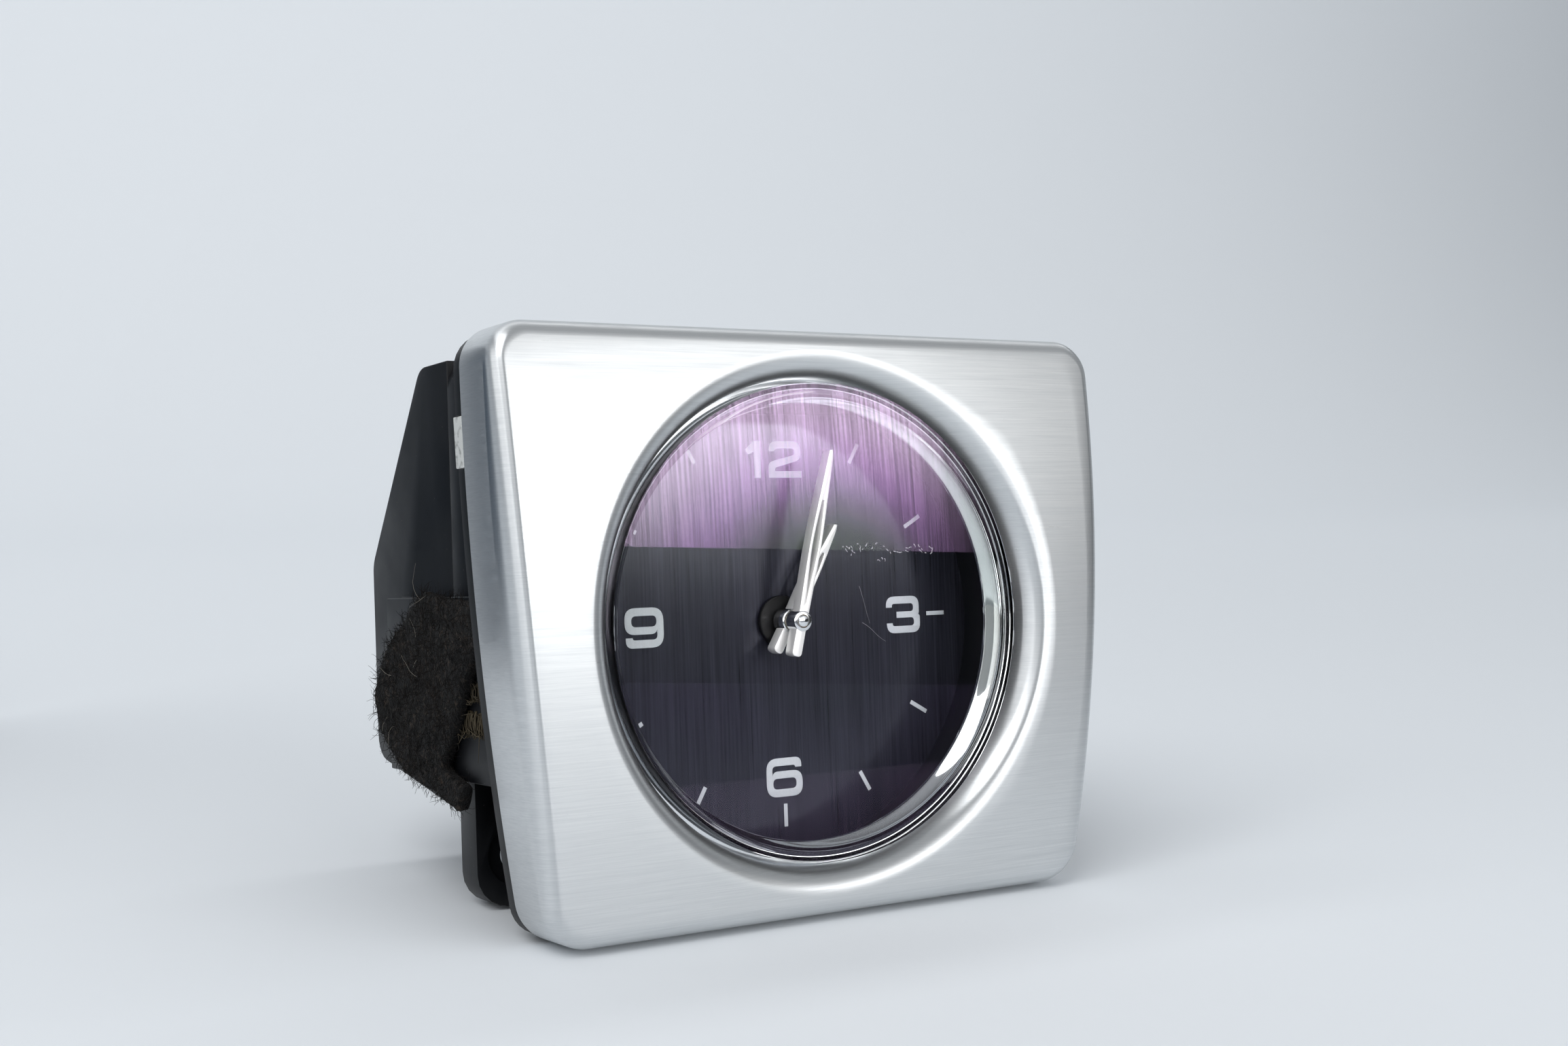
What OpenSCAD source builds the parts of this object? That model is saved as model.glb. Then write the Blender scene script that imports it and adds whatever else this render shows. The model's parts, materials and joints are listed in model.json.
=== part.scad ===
// Car dashboard clock: brushed front plate, domed lens, two hands, geared movement and snap-in housing.
// Axes: X to the right, Y into the dashboard along the dial axis, Z up; the origin is mid-depth on that axis.
// Sizes in millimetres; depths are counted back from the edge of the front plate's face.

/* [Bezel] */
// width of the front plate at its top edge
bezel_top_w = 75.6; // [66:0.2:86]
// width of the front plate at its bottom edge
bezel_bottom_w = 66; // [64:0.2:76]
// height of the front plate
bezel_h = 62; // [61:0.5:72]
// outward bow of the side edges
side_bow = 1.2; // [0:0.1:2]
// radius of the four corners
corner_r = 4.2; // [2.5:0.1:7]
// depth of the plate's side walls
bezel_depth = 7.5; // [6.5:0.1:10]
// thickness of the pressed plate
bezel_wall = 1.5; // [0.8:0.1:1.6]
// rounding between face and side walls
edge_r = 1.7; // [1.5:0.1:2]
// how far the middle of the face swells forward
crown = 2.2; // [0:0.1:2.8]
// height of the plate left above and below the round opening
bezel_rim = 5; // [4.4:0.1:5.6]
// level strip left there between the edge rounding and the lip
face_strip = 0.5; // [0.2:0.05:0.8]

/* [Clips] */
// height of the side clips above the dial axis
clip_side_z = 19.5; // [14:0.5:22]
// distance of the lower clips from the middle of the bottom edge
clip_bottom_x = 15; // [10:0.5:20]
// length of a clip along the side edge
clip_len = 5.2; // [3:0.1:7]
// thickness of the clip strip
clip_t = 0.6; // [0.4:0.1:0.8]

/* [Carrier] */
// thickness of the rim behind the plate
carrier_rim = 2.5; // [1.5:0.1:4]
// step of the rim inside the plate's outline
carrier_inset = 0.4; // [0.2:0.1:1]
// depth of the carrier inside the plate
carrier_tongue = 3; // [1:0.1:3.4]
// clearance between pieces that are pushed together
slip = 0.1; // [0.05:0.01:0.2]

/* [Lens and ring] */
// clearance between the lens and the opening
lens_play = 0.6; // [0.3:0.1:1]
// width of the lens rim that rests on the chrome ring
lens_seat = 0.6; // [0.4:0.1:1]
// thickness of the lens
lens_t = 1.6; // [1:0.1:1.8]
// rise of the dome
lens_rise = 1.4; // [0.5:0.1:2]
// depth of the lens rim below the face
lens_depth = 0.2; // [0:0.1:0.8]
// how far the chrome ring narrows towards its foot
ring_taper = 1.4; // [0.6:0.1:2]
// height of the chrome ring
ring_h = 2.4; // [2:0.1:3]
// thickness of the ring's flange under the lip
ring_flange = 1; // [0.6:0.1:1.2]
// thickness of the rubber gasket
gasket_t = 0.4; // [0.3:0.1:0.8]

/* [Dial and hands] */
// depth of the dial below the face
dial_depth = 10.5; // [9.8:0.1:12]
// thickness of the dial
dial_t = 0.5; // [0.3:0.1:1]
// radius of the black collar on the dial
collar_r = 2.8; // [2.2:0.1:4]
// height of the black collar
collar_h = 0.7; // [0.4:0.1:1]
// minute hand angle, clockwise from the top
minute_angle = 14; // [0:1:359]
// full hours that the hour hand has passed
full_hours = 1; // [0:1:11]
// reach of the minute hand
minute_len = 19.2; // [15:0.1:21]
// reach of the hour hand
hour_len = 12.2; // [9:0.1:16]
// width of a hand at its hub
hand_w = 1.6; // [1.4:0.1:2.1]
// width of a hand at its tip
hand_tip_w = 0.6; // [0.5:0.1:1.2]
// height of a hand's blade
hand_t = 1.5; // [0.8:0.1:1.6]
// reach of a hand's tail
tail_len = 3.9; // [3:0.1:6]
// width of a hand's tail
tail_w = 1.2; // [1:0.1:1.6]
// width of the slot in a hand
slot_w = 0.5; // [0.3:0.05:0.6]
// radius of the minute hand's hub
minute_hub_r = 1.15; // [1:0.05:1.6]
// radius of the hour hand's hub
hour_hub_r = 1.35; // [1.2:0.05:1.8]
// height of the minute hand's hub
minute_hub_t = 1.7; // [1.5:0.1:2]
// height of the hour hand's hub
hour_hub_t = 1.9; // [1.5:0.1:2.2]
// gap between hubs, collar and hands
hand_gap = 0.35; // [0.2:0.05:0.6]

/* [Housing] */
// full depth from the front of the plate to the rear face
overall_depth = 51.4; // [49:0.1:60]
// how far the dial drum reaches past the ring's flange
drum_lap = 0.9; // [0.7:0.1:1.1]
// wall of the drum round the movement
drum_wall = 1.2; // [1:0.1:1.6]
// distance of the flange's front face behind the dial
flange_step = 10.1; // [9.3:0.1:10.7]
// thickness of the flange and its ears
flange_t = 4.1; // [3:0.1:4.4]
// width of the housing beside the drum
body_side = 3.6; // [3.2:0.1:4.2]
// distance of the housing's top below the plate's top edge
top_step = 1.4; // [0.6:0.1:2.4]
// depth of the housing below the dial axis at its flange
body_bottom = 19.3; // [19:0.1:21]
// length of the level roof behind the flange
roof_len = 8; // [4:0.2:10]
// height of the rear face above the dial axis
rear_top = 8; // [6:0.2:14]
// depth of the rear face below the dial axis
rear_bottom = 14.6; // [12:0.2:17]
// wall of the rear cover
cover_wall = 1.6; // [1.2:0.1:2]
// rounding of the cover's rear corners
cover_round = 3; // [1:0.1:4]

/* [Ears] */
// width of an ear
ear_w = 9.2; // [8:0.1:11]
// height of the ears' ends above the plate's bottom edge
ear_step = 1.8; // [0.6:0.1:2.4]
// height of an ear's hole above the ear's end
ear_hole_up = 5.4; // [4.6:0.1:6]
// radius of an ear's hole
ear_hole_r = 1.7; // [1.2:0.1:2.2]
// radius of the screw seat in an ear
ear_seat_r = 3.3; // [2.6:0.1:3.6]
// depth of the screw seat
ear_seat_t = 0.6; // [0.3:0.1:1]
// rounding of an ear's lower corners
ear_round = 3.6; // [2:0.1:4.2]

/* [Snap arms and felt] */
// gap between a snap arm and the side wall
arm_gap = 0.6; // [0.4:0.1:1]
// thickness of a snap arm
arm_t = 1.3; // [1:0.1:1.5]
// upper edge of a snap arm above the dial axis
arm_top = 4; // [2:0.1:8]
// lower edge of a snap arm below the dial axis
arm_bottom = 15.4; // [12:0.1:15.6]
// depth of a snap arm's free end
arm_front = 11; // [10.8:0.1:14]
// depth of a snap arm's root
arm_rear = 40; // [38:0.1:42]
// length of the root that joins the side wall
arm_root = 4; // [2:0.1:6]
// length of the two windows in a snap arm
window_len = 6; // [3:0.1:8]
// thickness of the felt
felt_t = 1.6; // [1:0.1:2]

/* [Movement] */
// module of the drive wheels
drive_m = 0.25; // [0.24:0.01:0.25]
// module of the cannon pinion and the motion wheel
motion_m = 0.3; // [0.28:0.01:0.31]
// teeth of every pinion
pinion_z = 10; // [10:1:10]
// teeth of the centre wheel
centre_z = 60; // [60:1:60]
// teeth of the intermediate wheel
third_z = 50; // [50:1:50]
// teeth of the motion wheel
motion_z = 30; // [30:1:30]
// teeth of the hour wheel
hour_z = 40; // [40:1:40]
// thickness of the wheels
wheel_t = 0.8; // [0.6:0.05:1]
// gap between wheels along the axis
wheel_gap = 0.4; // [0.3:0.05:0.5]
// radius of the centre arbor
arbor_r = 0.6; // [0.45:0.05:0.65]
// wall of the hour pipe
pipe_wall = 0.3; // [0.25:0.05:0.35]
// radius of the small pivots
pivot_r = 0.45; // [0.35:0.05:0.55]
// running clearance of every pivot
run = 0.05; // [0.03:0.01:0.08]
// thickness of the movement plates
plate_t = 1.4; // [1:0.1:1.8]
// radius of the front movement plate
front_plate_r = 19; // [18.5:0.1:19.4]
// radius of the rear movement plate
back_plate_r = 17.2; // [17:0.1:17.3]
// radius of the rotor magnet
magnet_r = 2.6; // [2.2:0.1:2.8]
// thickness of the rotor magnet
magnet_t = 2.4; // [1.8:0.1:2.6]
// air gap between magnet and stator
air_gap = 0.4; // [0.3:0.05:0.6]
// thickness of stator and coil core
core_t = 1.2; // [0.8:0.1:1.4]
// radius of the coil winding
coil_r = 2.4; // [2:0.1:2.5]
// distance of the coil below the rotor
coil_drop = 7.1; // [7:0.1:7.4]
// reach of the stator to the left of the rotor
stator_left_len = 16.4; // [16.2:0.1:16.6]
// reach of the stator to the right of the rotor
stator_right_len = 11.4; // [11:0.1:12]
// width of the stator beside the rotor's hole
stator_rim = 0.8; // [0.6:0.1:0.9]

/* [Electrics] */
// thickness of the light guide behind the dial
guide_t = 1.8; // [1.4:0.1:2.2]
// radius of a light guide leg
guide_leg_r = 1.4; // [1:0.1:1.6]
// distance of a light guide leg from the middle
guide_leg_x = 21.2; // [21:0.1:21.4]
// space between rear plate and circuit board
board_gap = 2; // [1.6:0.1:2.4]
// thickness of the circuit board
board_t = 1.6; // [1:0.1:1.8]
// width of the circuit board
board_w = 47; // [46.5:0.1:50]
// edge of the board above the dial axis
board_top = 19; // [18:0.1:21]
// edge of the board below the dial axis
board_bottom = 15.6; // [15.2:0.1:15.8]
// width of the connector socket
socket_w = 16; // [15:0.1:20]
// height of the connector socket
socket_h = 9; // [8:0.1:11]
// depth of the connector socket
socket_len = 12; // [9:0.1:13]
// wall of the connector socket
socket_wall = 1.4; // [1:0.1:1.6]
// depth of the socket's centre below the dial axis
socket_z = 4; // [2:0.1:6]
// spacing of the connector pins
pin_pitch = 2.8; // [2.4:0.1:3]
// side of a square connector pin
pin_s = 0.64; // [0.5:0.02:0.8]
// number of connector pins
pin_count = 4; // [2:1:4]

/* [Screws] */
// radius of a case screw's shank
case_screw_r = 1.2; // [1:0.1:1.3]
// radius of a case screw's head
case_head_r = 2.3; // [1.8:0.1:2.4]
// height of a case screw's head
case_head_t = 1.6; // [1:0.1:2]
// length of a case screw's thread in the cover
case_thread = 6; // [4:0.1:8]
// distance of a case screw from the housing's side
case_screw_in = 3.4; // [3:0.1:3.6]
// distance of the upper case screws below the housing's top
case_screw_down = 5.2; // [4.6:0.1:6]
// depth of the lower case screws below the dial axis
case_lower_z = 13.6; // [13:0.1:14]
// radius of a small screw's shank
small_screw_r = 0.6; // [0.5:0.05:0.7]
// radius of a small screw's head
small_head_r = 1.2; // [1:0.05:1.3]
// height of a small screw's head
small_head_t = 0.9; // [0.6:0.1:1]
// length of a small screw's thread
small_thread = 3; // [2:0.1:3.4]

/* [Hidden] */
$fn = 96;
// which sub-part to draw
// small overshoot that makes a cut pass clean through
over = 1;
half_h = bezel_h / 2;
// the edge of the face lies this far in front of the origin
face_y = crown - overall_depth / 2;
rear_y = overall_depth / 2;
opening_r = half_h - bezel_rim;
// the lip rolls into the opening over what the rim leaves
lip_r = bezel_rim - edge_r - face_strip;
lip_foot_r = opening_r + lip_r;
lens_r = opening_r - lens_play;
ring_top_r = lens_r - lens_seat;
ring_foot_r = ring_top_r - ring_taper;
ring_front = lens_depth + lens_t;
ring_rear = ring_front + ring_h;
lip_end = ring_rear - ring_flange;
ring_flange_r = opening_r + bezel_wall;
drum_front = ring_rear + gasket_t;
drum_r = ring_flange_r + drum_lap;
drum_front_r = lens_r + 2 * slip;
drum_bore_r = drum_r - drum_wall;
dial_r = drum_bore_r - slip;
carrier_front = bezel_depth - carrier_tongue;
carrier_rear = bezel_depth + carrier_rim;
flange_front = dial_depth + flange_step;
flange_rear = flange_front + flange_t;
half_w = drum_r + body_side;
body_top = half_h - top_step;
ear_drop = half_h - ear_step;
ear_hole_x = half_w - ear_w / 2;
ear_hole_z = ear_drop - ear_hole_up;
case_screw_x = half_w - case_screw_in;
case_upper_z = body_top - case_screw_down;
guide_front = dial_depth + dial_t;
plate_front = guide_front + guide_t;
plate_rear = plate_front + plate_t;
// wheel levels, from the dial to the rear
hour_y = plate_rear + wheel_gap;
motion_y = hour_y + wheel_t + wheel_gap;
centre_y = motion_y + wheel_t + wheel_gap;
third_y = centre_y + wheel_t + wheel_gap;
magnet_y = third_y + wheel_t + wheel_gap;
back_front = magnet_y + magnet_t + wheel_gap;
back_rear = back_front + plate_t;
stator_y = magnet_y + (magnet_t - core_t) / 2;
board_front = back_rear + board_gap;
board_rear = board_front + board_t;
// wheel places
third_dir = 240;
rotor_dir = 340;
motion_dir = 60;
third_dist = drive_m * (centre_z + pinion_z) / 2;
rotor_dist = drive_m * (third_z + pinion_z) / 2;
motion_dist = motion_m * (motion_z + pinion_z) / 2;
hour_m = 2 * motion_dist / (hour_z + pinion_z);
third_p = [third_dist * cos(third_dir), third_dist * sin(third_dir)];
rotor_p = [third_p[0] + rotor_dist * cos(rotor_dir), third_p[1] + rotor_dist * sin(rotor_dir)];
motion_p = [motion_dist * cos(motion_dir), motion_dist * sin(motion_dir)];
pipe_bore_r = arbor_r + run;
pipe_r = pipe_bore_r + pipe_wall;
bush_wall = 0.7;
bush_r = pipe_r + run + bush_wall;
bush_flange_r = bush_r + bush_wall;
// hand levels
collar_front = dial_depth - collar_h;
hour_hub_front = collar_front - hand_gap - hour_hub_t;
minute_hub_front = hour_hub_front - hand_gap - minute_hub_t;
// tooth form
half_turn = 180;
pressure = 25;
addendum = 0.75;
dedendum = 1.05;
backlash = 0.2;
// places of small fasteners
post_r = 1.6;
post_ring_r = drum_bore_r - 1.3;
post_angles = [90, 180, 270];
post_thread = guide_t + dial_t - 0.3;
lug_half = 1.8;
pillar_r = 1.1;
pillar_ring_r = 15.6;
pillar_angles = [35, 145, 198, 342];
stand_r = 1.5;
stands = [[-9, 12], [9, 12], [0, -12.4]];
case_places = [[case_screw_x, case_upper_z], [-case_screw_x, case_upper_z],
    [case_screw_x, -case_lower_z], [-case_screw_x, -case_lower_z]];
boss_r = 2.6;
// stator and coil
stator_half = magnet_r + air_gap + stator_rim;
stator_left = rotor_p[0] - stator_left_len;
stator_right = rotor_p[0] + stator_right_len;
leg_w = 3.2;
coil_z = rotor_p[1] - coil_drop;
bar_half = 1.2;
bobbin_wall = 0.5;
flange_w = 0.8;
bobbin_r = coil_r + 0.3;
stop_r = 0.9;
// snap arm
arm_x = half_w + arm_gap + arm_t;
guide_leg_z = 6;
lamp_s = 2.6;
lamp_t = 1;

// half width of the front plate at a height
function side_x(z) = (bezel_top_w + bezel_bottom_w) / 4 + (bezel_top_w - bezel_bottom_w) / 4 * z / half_h
    + side_bow * (1 - pow(z / half_h, 2));
// direction of the outward normal of the side edge at a height
function side_dir(z) = -atan((bezel_top_w - bezel_bottom_w) / (4 * half_h) - 2 * side_bow * z / pow(half_h, 2));
// centre of the rounded corner at the top or the bottom
function corner_at(s) = let (z = s * (half_h - corner_r), a = side_dir(z))
    [side_x(z + corner_r * sin(a)) - corner_r * cos(a), z];
// one point of the outline with its normal
function edge_pt(x, z, a) = [x, z, cos(a), sin(a)];
// right half of the outline from the bottom middle to the top middle
edge_n = 6;
corner_n = 7;
side_n = 12;
low = corner_at(-1);
high = corner_at(1);
low_dir = side_dir(low[1]);
high_dir = side_dir(high[1]);
side_low = low[1] + corner_r * sin(low_dir);
side_high = high[1] + corner_r * sin(high_dir);
right_half = concat(
    [for (i = [0:edge_n - 1]) edge_pt(low[0] * (i + 0.5) / edge_n, -half_h, -90)],
    [for (i = [0:corner_n]) let (a = -90 + (low_dir + 90) * i / corner_n)
        edge_pt(low[0] + corner_r * cos(a), low[1] + corner_r * sin(a), a)],
    [for (i = [1:side_n - 1]) let (z = side_low + (side_high - side_low) * i / side_n)
        edge_pt(side_x(z), z, side_dir(z))],
    [for (i = [0:corner_n]) let (a = high_dir + (90 - high_dir) * i / corner_n)
        edge_pt(high[0] + corner_r * cos(a), high[1] + corner_r * sin(a), a)],
    [for (i = [edge_n - 1:-1:0]) edge_pt(high[0] * (i + 0.5) / edge_n, half_h, 90)]);
half_n = len(right_half);
rim = concat(right_half, [for (i = [half_n - 1:-1:0]) let (p = right_half[i]) [-p[0], p[1], -p[2], p[3]]]);
rim_n = len(rim);
// outline drawn in by a distance
function drawn_in(d) = [for (p = rim) [p[0] - d * p[2], p[1] - d * p[3]]];
// forward swell of the face at a height
function swell(z) = crown * max(0, 1 - pow(z / half_h, 2));
// ring of the plate at an inset and a depth, with a share of the swell
function rim_ring(d, y, k) = [for (p = drawn_in(d)) [p[0], y - k * swell(p[1]), p[1]]];
// ring of the lip at a radius and a depth, point for point beside the rim
function lip_ring(r, y, k) = [for (p = drawn_in(edge_r)) let (q = p * r / norm(p)) [q[0], y - k * swell(q[1]), q[1]]];
round_n = 5;
bezel_rings = concat(
    [rim_ring(0, bezel_depth, 0)],
    [for (i = [0:round_n]) let (t = 90 * i / round_n)
        rim_ring(edge_r * (1 - cos(t)), edge_r * (1 - sin(t)), sin(t))],
    [for (i = [0:round_n]) let (t = 90 * i / round_n)
        lip_ring(lip_foot_r - lip_r * sin(t), lip_r * (1 - cos(t)), cos(t))],
    [lip_ring(opening_r, lip_end, 0), lip_ring(opening_r + bezel_wall, lip_end, 0)],
    [for (i = [round_n:-1:0]) let (t = 90 * i / round_n)
        lip_ring(lip_foot_r - (lip_r - bezel_wall) * sin(t), bezel_wall + (lip_r - bezel_wall) * (1 - cos(t)), cos(t))],
    [for (i = [round_n:-1:0]) let (t = 90 * i / round_n, r = edge_r - bezel_wall)
        rim_ring(bezel_wall + r * (1 - cos(t)), bezel_wall + r * (1 - sin(t)), sin(t))],
    [rim_ring(bezel_wall, bezel_depth, 0)]);
// convex outline drawn in by a wall
function shrunk(p, d) = let (n = len(p)) [for (i = [0:n - 1])
    let (a = p[i] - p[(i + n - 1) % n], b = p[(i + 1) % n] - p[i],
        u = [-a[1], a[0]] / norm(a), v = [-b[1], b[0]] / norm(b)) p[i] + d * (u + v) / (1 + u * v)];
// convex outline with its corners rounded
function rounded(p, r) = let (n = len(p)) [for (i = [0:n - 1])
    let (a = p[(i + n - 1) % n] - p[i], b = p[(i + 1) % n] - p[i], u = a / norm(a), v = b / norm(b),
        h = acos(u * v) / 2, c = p[i] + (u + v) / norm(u + v) * r[i] / sin(h),
        s = p[i] + u * r[i] / tan(h) - c, t = atan2(s[1], s[0]))
        for (k = [0:r[i] > 0 ? round_n : 0]) c + r[i] * [cos(t + (180 - 2 * h) * k / round_n), sin(t + (180 - 2 * h) * k / round_n)]];
// cover profile: depth, then height
cover_profile = [[flange_rear, -body_bottom], [rear_y - face_y, -rear_bottom], [rear_y - face_y, rear_top],
    [flange_rear + roof_len, body_top], [flange_rear, body_top]];
cover_rounds = [0, cover_round, cover_round, cover_round, 0];
inner_profile = [for (p = shrunk(cover_profile, cover_wall))
    p[0] < flange_rear + 2 * cover_wall && p[0] < flange_rear + roof_len / 2 ? [flange_rear - over, p[1]] : p];
// felt outline: depth, then height, laid on the arm's outer face
felt_front = arm_front - 0.6;
felt_rear = arm_rear + 0.6;
felt_mid = (arm_front + arm_rear) / 2;
felt_outline = [[felt_front, -1], [felt_front + 4, -4.4], [felt_front + 8, -10.4], [felt_front + 11, -14],
    [felt_front + 5, -15.6], [felt_front + 6.4, -18.2], [felt_mid - 1, -16.6], [felt_rear - 8, -15.2],
    [felt_rear - 1.6, -11.6], [felt_rear, -7.2], [felt_rear - 2.2, -2.7], [felt_mid + 5.6, 1.8],
    [felt_mid, arm_top + 0.5], [felt_front, arm_top - 0.8]];

// involute helper and tooth outline
function inv(a) = tan(a) * 180 / PI - a;
function tooth_half(r, z, m) = let (rb = z * m / 2 * cos(pressure))
    90 / z - backlash * 90 / PI / z + inv(pressure) - inv(acos(min(1, rb / r)));
function gear_pts(z, m) = let (rp = z * m / 2, rf = rp - dedendum * m, ra = rp + addendum * m,
    rb = max(rp * cos(pressure), rf + 0.02 * m), rs = [rf, rb, rp, ra])
    [for (k = [0:z - 1]) for (j = [0:7]) let (r = j < 4 ? rs[j] : rs[7 - j],
        a = 360 * k / z + (j < 4 ? -1 : 1) * tooth_half(r, z, m)) r * [cos(a), sin(a)]];

// draw children, given as depth behind the face, in the part's frame
module from_face() {
    translate([0, face_y, 0])
        children();
}
// extrude a front view outline between two depths
module slab(y0, y1) {
    translate([0, y1, 0])
        rotate([90, 0, 0])
            linear_extrude(y1 - y0)
                children();
}
// turn a radius and depth profile about the dial axis
module turned() {
    rotate([-90, 0, 0])
        rotate_extrude()
            children();
}
// round bar along the dial axis
module bar(r, y0, y1) {
    translate([0, y0, 0])
        rotate([-90, 0, 0])
            cylinder(r = r, h = y1 - y0);
}
// move children to a place in the front view
module at(p) {
    translate([p[0], 0, p[1]])
        children();
}
// box given by two corners
module box(a, b) {
    translate(a)
        cube(b - a);
}
// toothed wheel with a tooth at an angle
module gear(z, m, turn, y0, y1) {
    rotate([0, -turn, 0])
        slab(y0, y1)
            polygon(gear_pts(z, m));
}

module front_bezel() {
    n = len(bezel_rings);
    color("silver")
        polyhedron(
            points = [for (r = bezel_rings) for (p = r) p],
            faces = [for (k = [0:n - 1]) for (i = [0:rim_n - 1]) for (h = [0, 1])
                let (a = k * rim_n + i, b = k * rim_n + (i + 1) % rim_n,
                    c = ((k + 1) % n) * rim_n + i, d = ((k + 1) % n) * rim_n + (i + 1) % rim_n)
                h == 0 ? [a, b, c] : [b, d, c]],
            convexity = 6);
}

// one folded clip: leaf inside the wall, tab behind the wall, foot behind the carrier
module clip() {
    inner = bezel_wall + slip / 2 + clip_t;
    box([-inner, carrier_front, -clip_len / 2], [clip_t - inner, bezel_depth + clip_t, clip_len / 2]);
    box([-inner, bezel_depth, -clip_len / 2], [-carrier_inset, bezel_depth + clip_t, clip_len / 2]);
    box([-carrier_inset - clip_t, bezel_depth, -clip_len / 2], [-carrier_inset, carrier_rear + clip_t, clip_len / 2]);
    box([-inner - clip_t, carrier_rear, -clip_len / 2], [-carrier_inset, carrier_rear + clip_t, clip_len / 2]);
}
// repeat children at the four clip places
module at_clips() {
    for (s = [0, 1])
        mirror([s, 0, 0]) {
            translate([side_x(clip_side_z), 0, clip_side_z])
                rotate([0, -side_dir(clip_side_z), 0])
                    children();
            translate([clip_bottom_x, 0, -half_h])
                rotate([0, half_turn / 2, 0])
                    children();
        }
}
module bezel_clips() {
    color("lightgray")
        at_clips()
            clip();
}

module carrier_frame() {
    color("black")
        difference() {
            union() {
                slab(carrier_front, bezel_depth)
                    polygon(drawn_in(bezel_wall + slip));
                slab(bezel_depth, carrier_rear)
                    polygon(drawn_in(carrier_inset));
            }
            bar(drum_r + slip, carrier_front - over, carrier_rear + over);
            at_clips() {
                box([-bezel_wall - clip_t - 2 * slip, carrier_front - over, -clip_len / 2 - slip],
                    [over, bezel_depth + clip_t + slip, clip_len / 2 + slip]);
                box([-carrier_inset - clip_t - slip, bezel_depth, -clip_len / 2 - slip],
                    [over, carrier_rear + over, clip_len / 2 + slip]);
            }
        }
}

module lens() {
    // dome radius outside, from rim and rise
    outer_r = (pow(lens_r, 2) + pow(lens_rise, 2)) / (2 * lens_rise);
    // dome radius inside, which leaves a flat seat on the chrome ring
    inner_r = (pow(ring_top_r, 2) + pow(lens_rise, 2)) / (2 * lens_rise);
    color("lightblue", 0.4)
        difference() {
            intersection() {
                bar(lens_r, lens_depth - lens_rise - over, ring_front);
                translate([0, lens_depth - lens_rise + outer_r, 0])
                    sphere(r = outer_r, $fn = 400);
            }
            translate([0, ring_front - lens_rise + inner_r, 0])
                sphere(r = inner_r, $fn = 400);
        }
}

module chrome_ring() {
    color("silver")
        turned()
            polygon([[ring_top_r, ring_front], [lens_r, ring_front], [lens_r, lip_end], [ring_flange_r, lip_end],
                [ring_flange_r, ring_rear], [ring_foot_r, ring_rear], [ring_foot_r, ring_rear - gasket_t]]);
}

module ring_gasket() {
    color("dimgray")
        turned()
            translate([drum_front_r, ring_rear])
                square([ring_flange_r - drum_front_r, gasket_t]);
}

// outline of one screw ear in the front view
module ear() {
    polygon(rounded([[half_w - ear_w, -ear_drop], [half_w, -ear_drop], [half_w, -body_bottom + ear_round],
        [half_w - ear_w, -body_bottom + ear_round]], [ear_round, ear_round, 0, 0]));
}
// flange behind the drum with both ears
module flange_outline() {
    polygon(rounded([[-half_w, -body_bottom], [half_w, -body_bottom], [half_w, body_top],
        [-half_w, body_top]], [0, 0, cover_round, cover_round]));
    ear();
    mirror([1, 0])
        ear();
}
// repeat children at the posts that hold the movement
module at_posts() {
    for (a = post_angles)
        rotate([0, -a, 0])
            translate([post_ring_r, 0, 0])
                children();
}
module front_housing() {
    color("#202226")
        difference() {
            union() {
                difference() {
                    union() {
                        bar(drum_r, drum_front, flange_rear);
                        slab(flange_front, flange_rear)
                            flange_outline();
                    }
                    bar(drum_bore_r, dial_depth, flange_rear + over);
                    bar(drum_front_r, drum_front - over, dial_depth + over);
                }
                at_posts()
                    bar(post_r, dial_depth, plate_front);
            }
            at_posts()
                bar(small_screw_r, plate_front - post_thread, plate_front + over);
            for (s = [-1, 1])
                at([s * ear_hole_x, -ear_hole_z]) {
                    bar(ear_hole_r, flange_front - over, flange_rear + over);
                    bar(ear_seat_r, flange_front - over, flange_front + ear_seat_t);
                }
            for (p = case_places)
                at(p)
                    bar(case_screw_r, flange_front - over, flange_rear + over);
        }
}

// notches that let a disc pass the posts of the drum
module post_notches(y0, y1) {
    at_posts()
        bar(post_r + slip, y0 - over, y1 + over);
}
module dial() {
    color("#3a3448")
        difference() {
            bar(dial_r, dial_depth, guide_front);
            bar(bush_r + slip, dial_depth - over, guide_front + over);
            post_notches(dial_depth, guide_front);
        }
}

module centre_collar() {
    color("black")
        difference() {
            bar(collar_r, collar_front, dial_depth);
            bar(pipe_r + run, collar_front - over, dial_depth + over);
        }
}

module light_guide() {
    color("white", 0.8)
        difference() {
            union() {
                bar(dial_r, guide_front, plate_front);
                for (s = [-1, 1])
                    at([s * guide_leg_x, guide_leg_z])
                        bar(guide_leg_r, guide_front, board_front - lamp_t - slip);
            }
            bar(bush_r + slip, guide_front - over, plate_front + over);
            post_notches(guide_front, plate_front);
        }
}

// skeleton hand pointing up: blade with a slot, tail and hub
module hand(reach, hub_r, hub_t, bore_r, y0) {
    difference() {
        union() {
            slab(y0 + (hub_t - hand_t) / 2, y0 + (hub_t + hand_t) / 2) {
                polygon([[-hand_w / 2, 0], [hand_w / 2, 0], [hand_tip_w / 2, reach], [-hand_tip_w / 2, reach]]);
                translate([-tail_w / 2, -tail_len])
                    square([tail_w, tail_len]);
            }
            bar(hub_r, y0, y0 + hub_t);
        }
        slab(y0 - over, y0 + hub_t + over)
            translate([-slot_w / 2, hub_r + slot_w])
                square([slot_w, reach * 0.7 - hub_r - slot_w]);
        bar(bore_r, y0 - over, y0 + hub_t + over);
    }
}
module hour_hand() {
    color("silver")
        rotate([0, 30 * full_hours + minute_angle / 12, 0])
            hand(hour_len, hour_hub_r, hour_hub_t, pipe_r, hour_hub_front);
}
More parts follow.
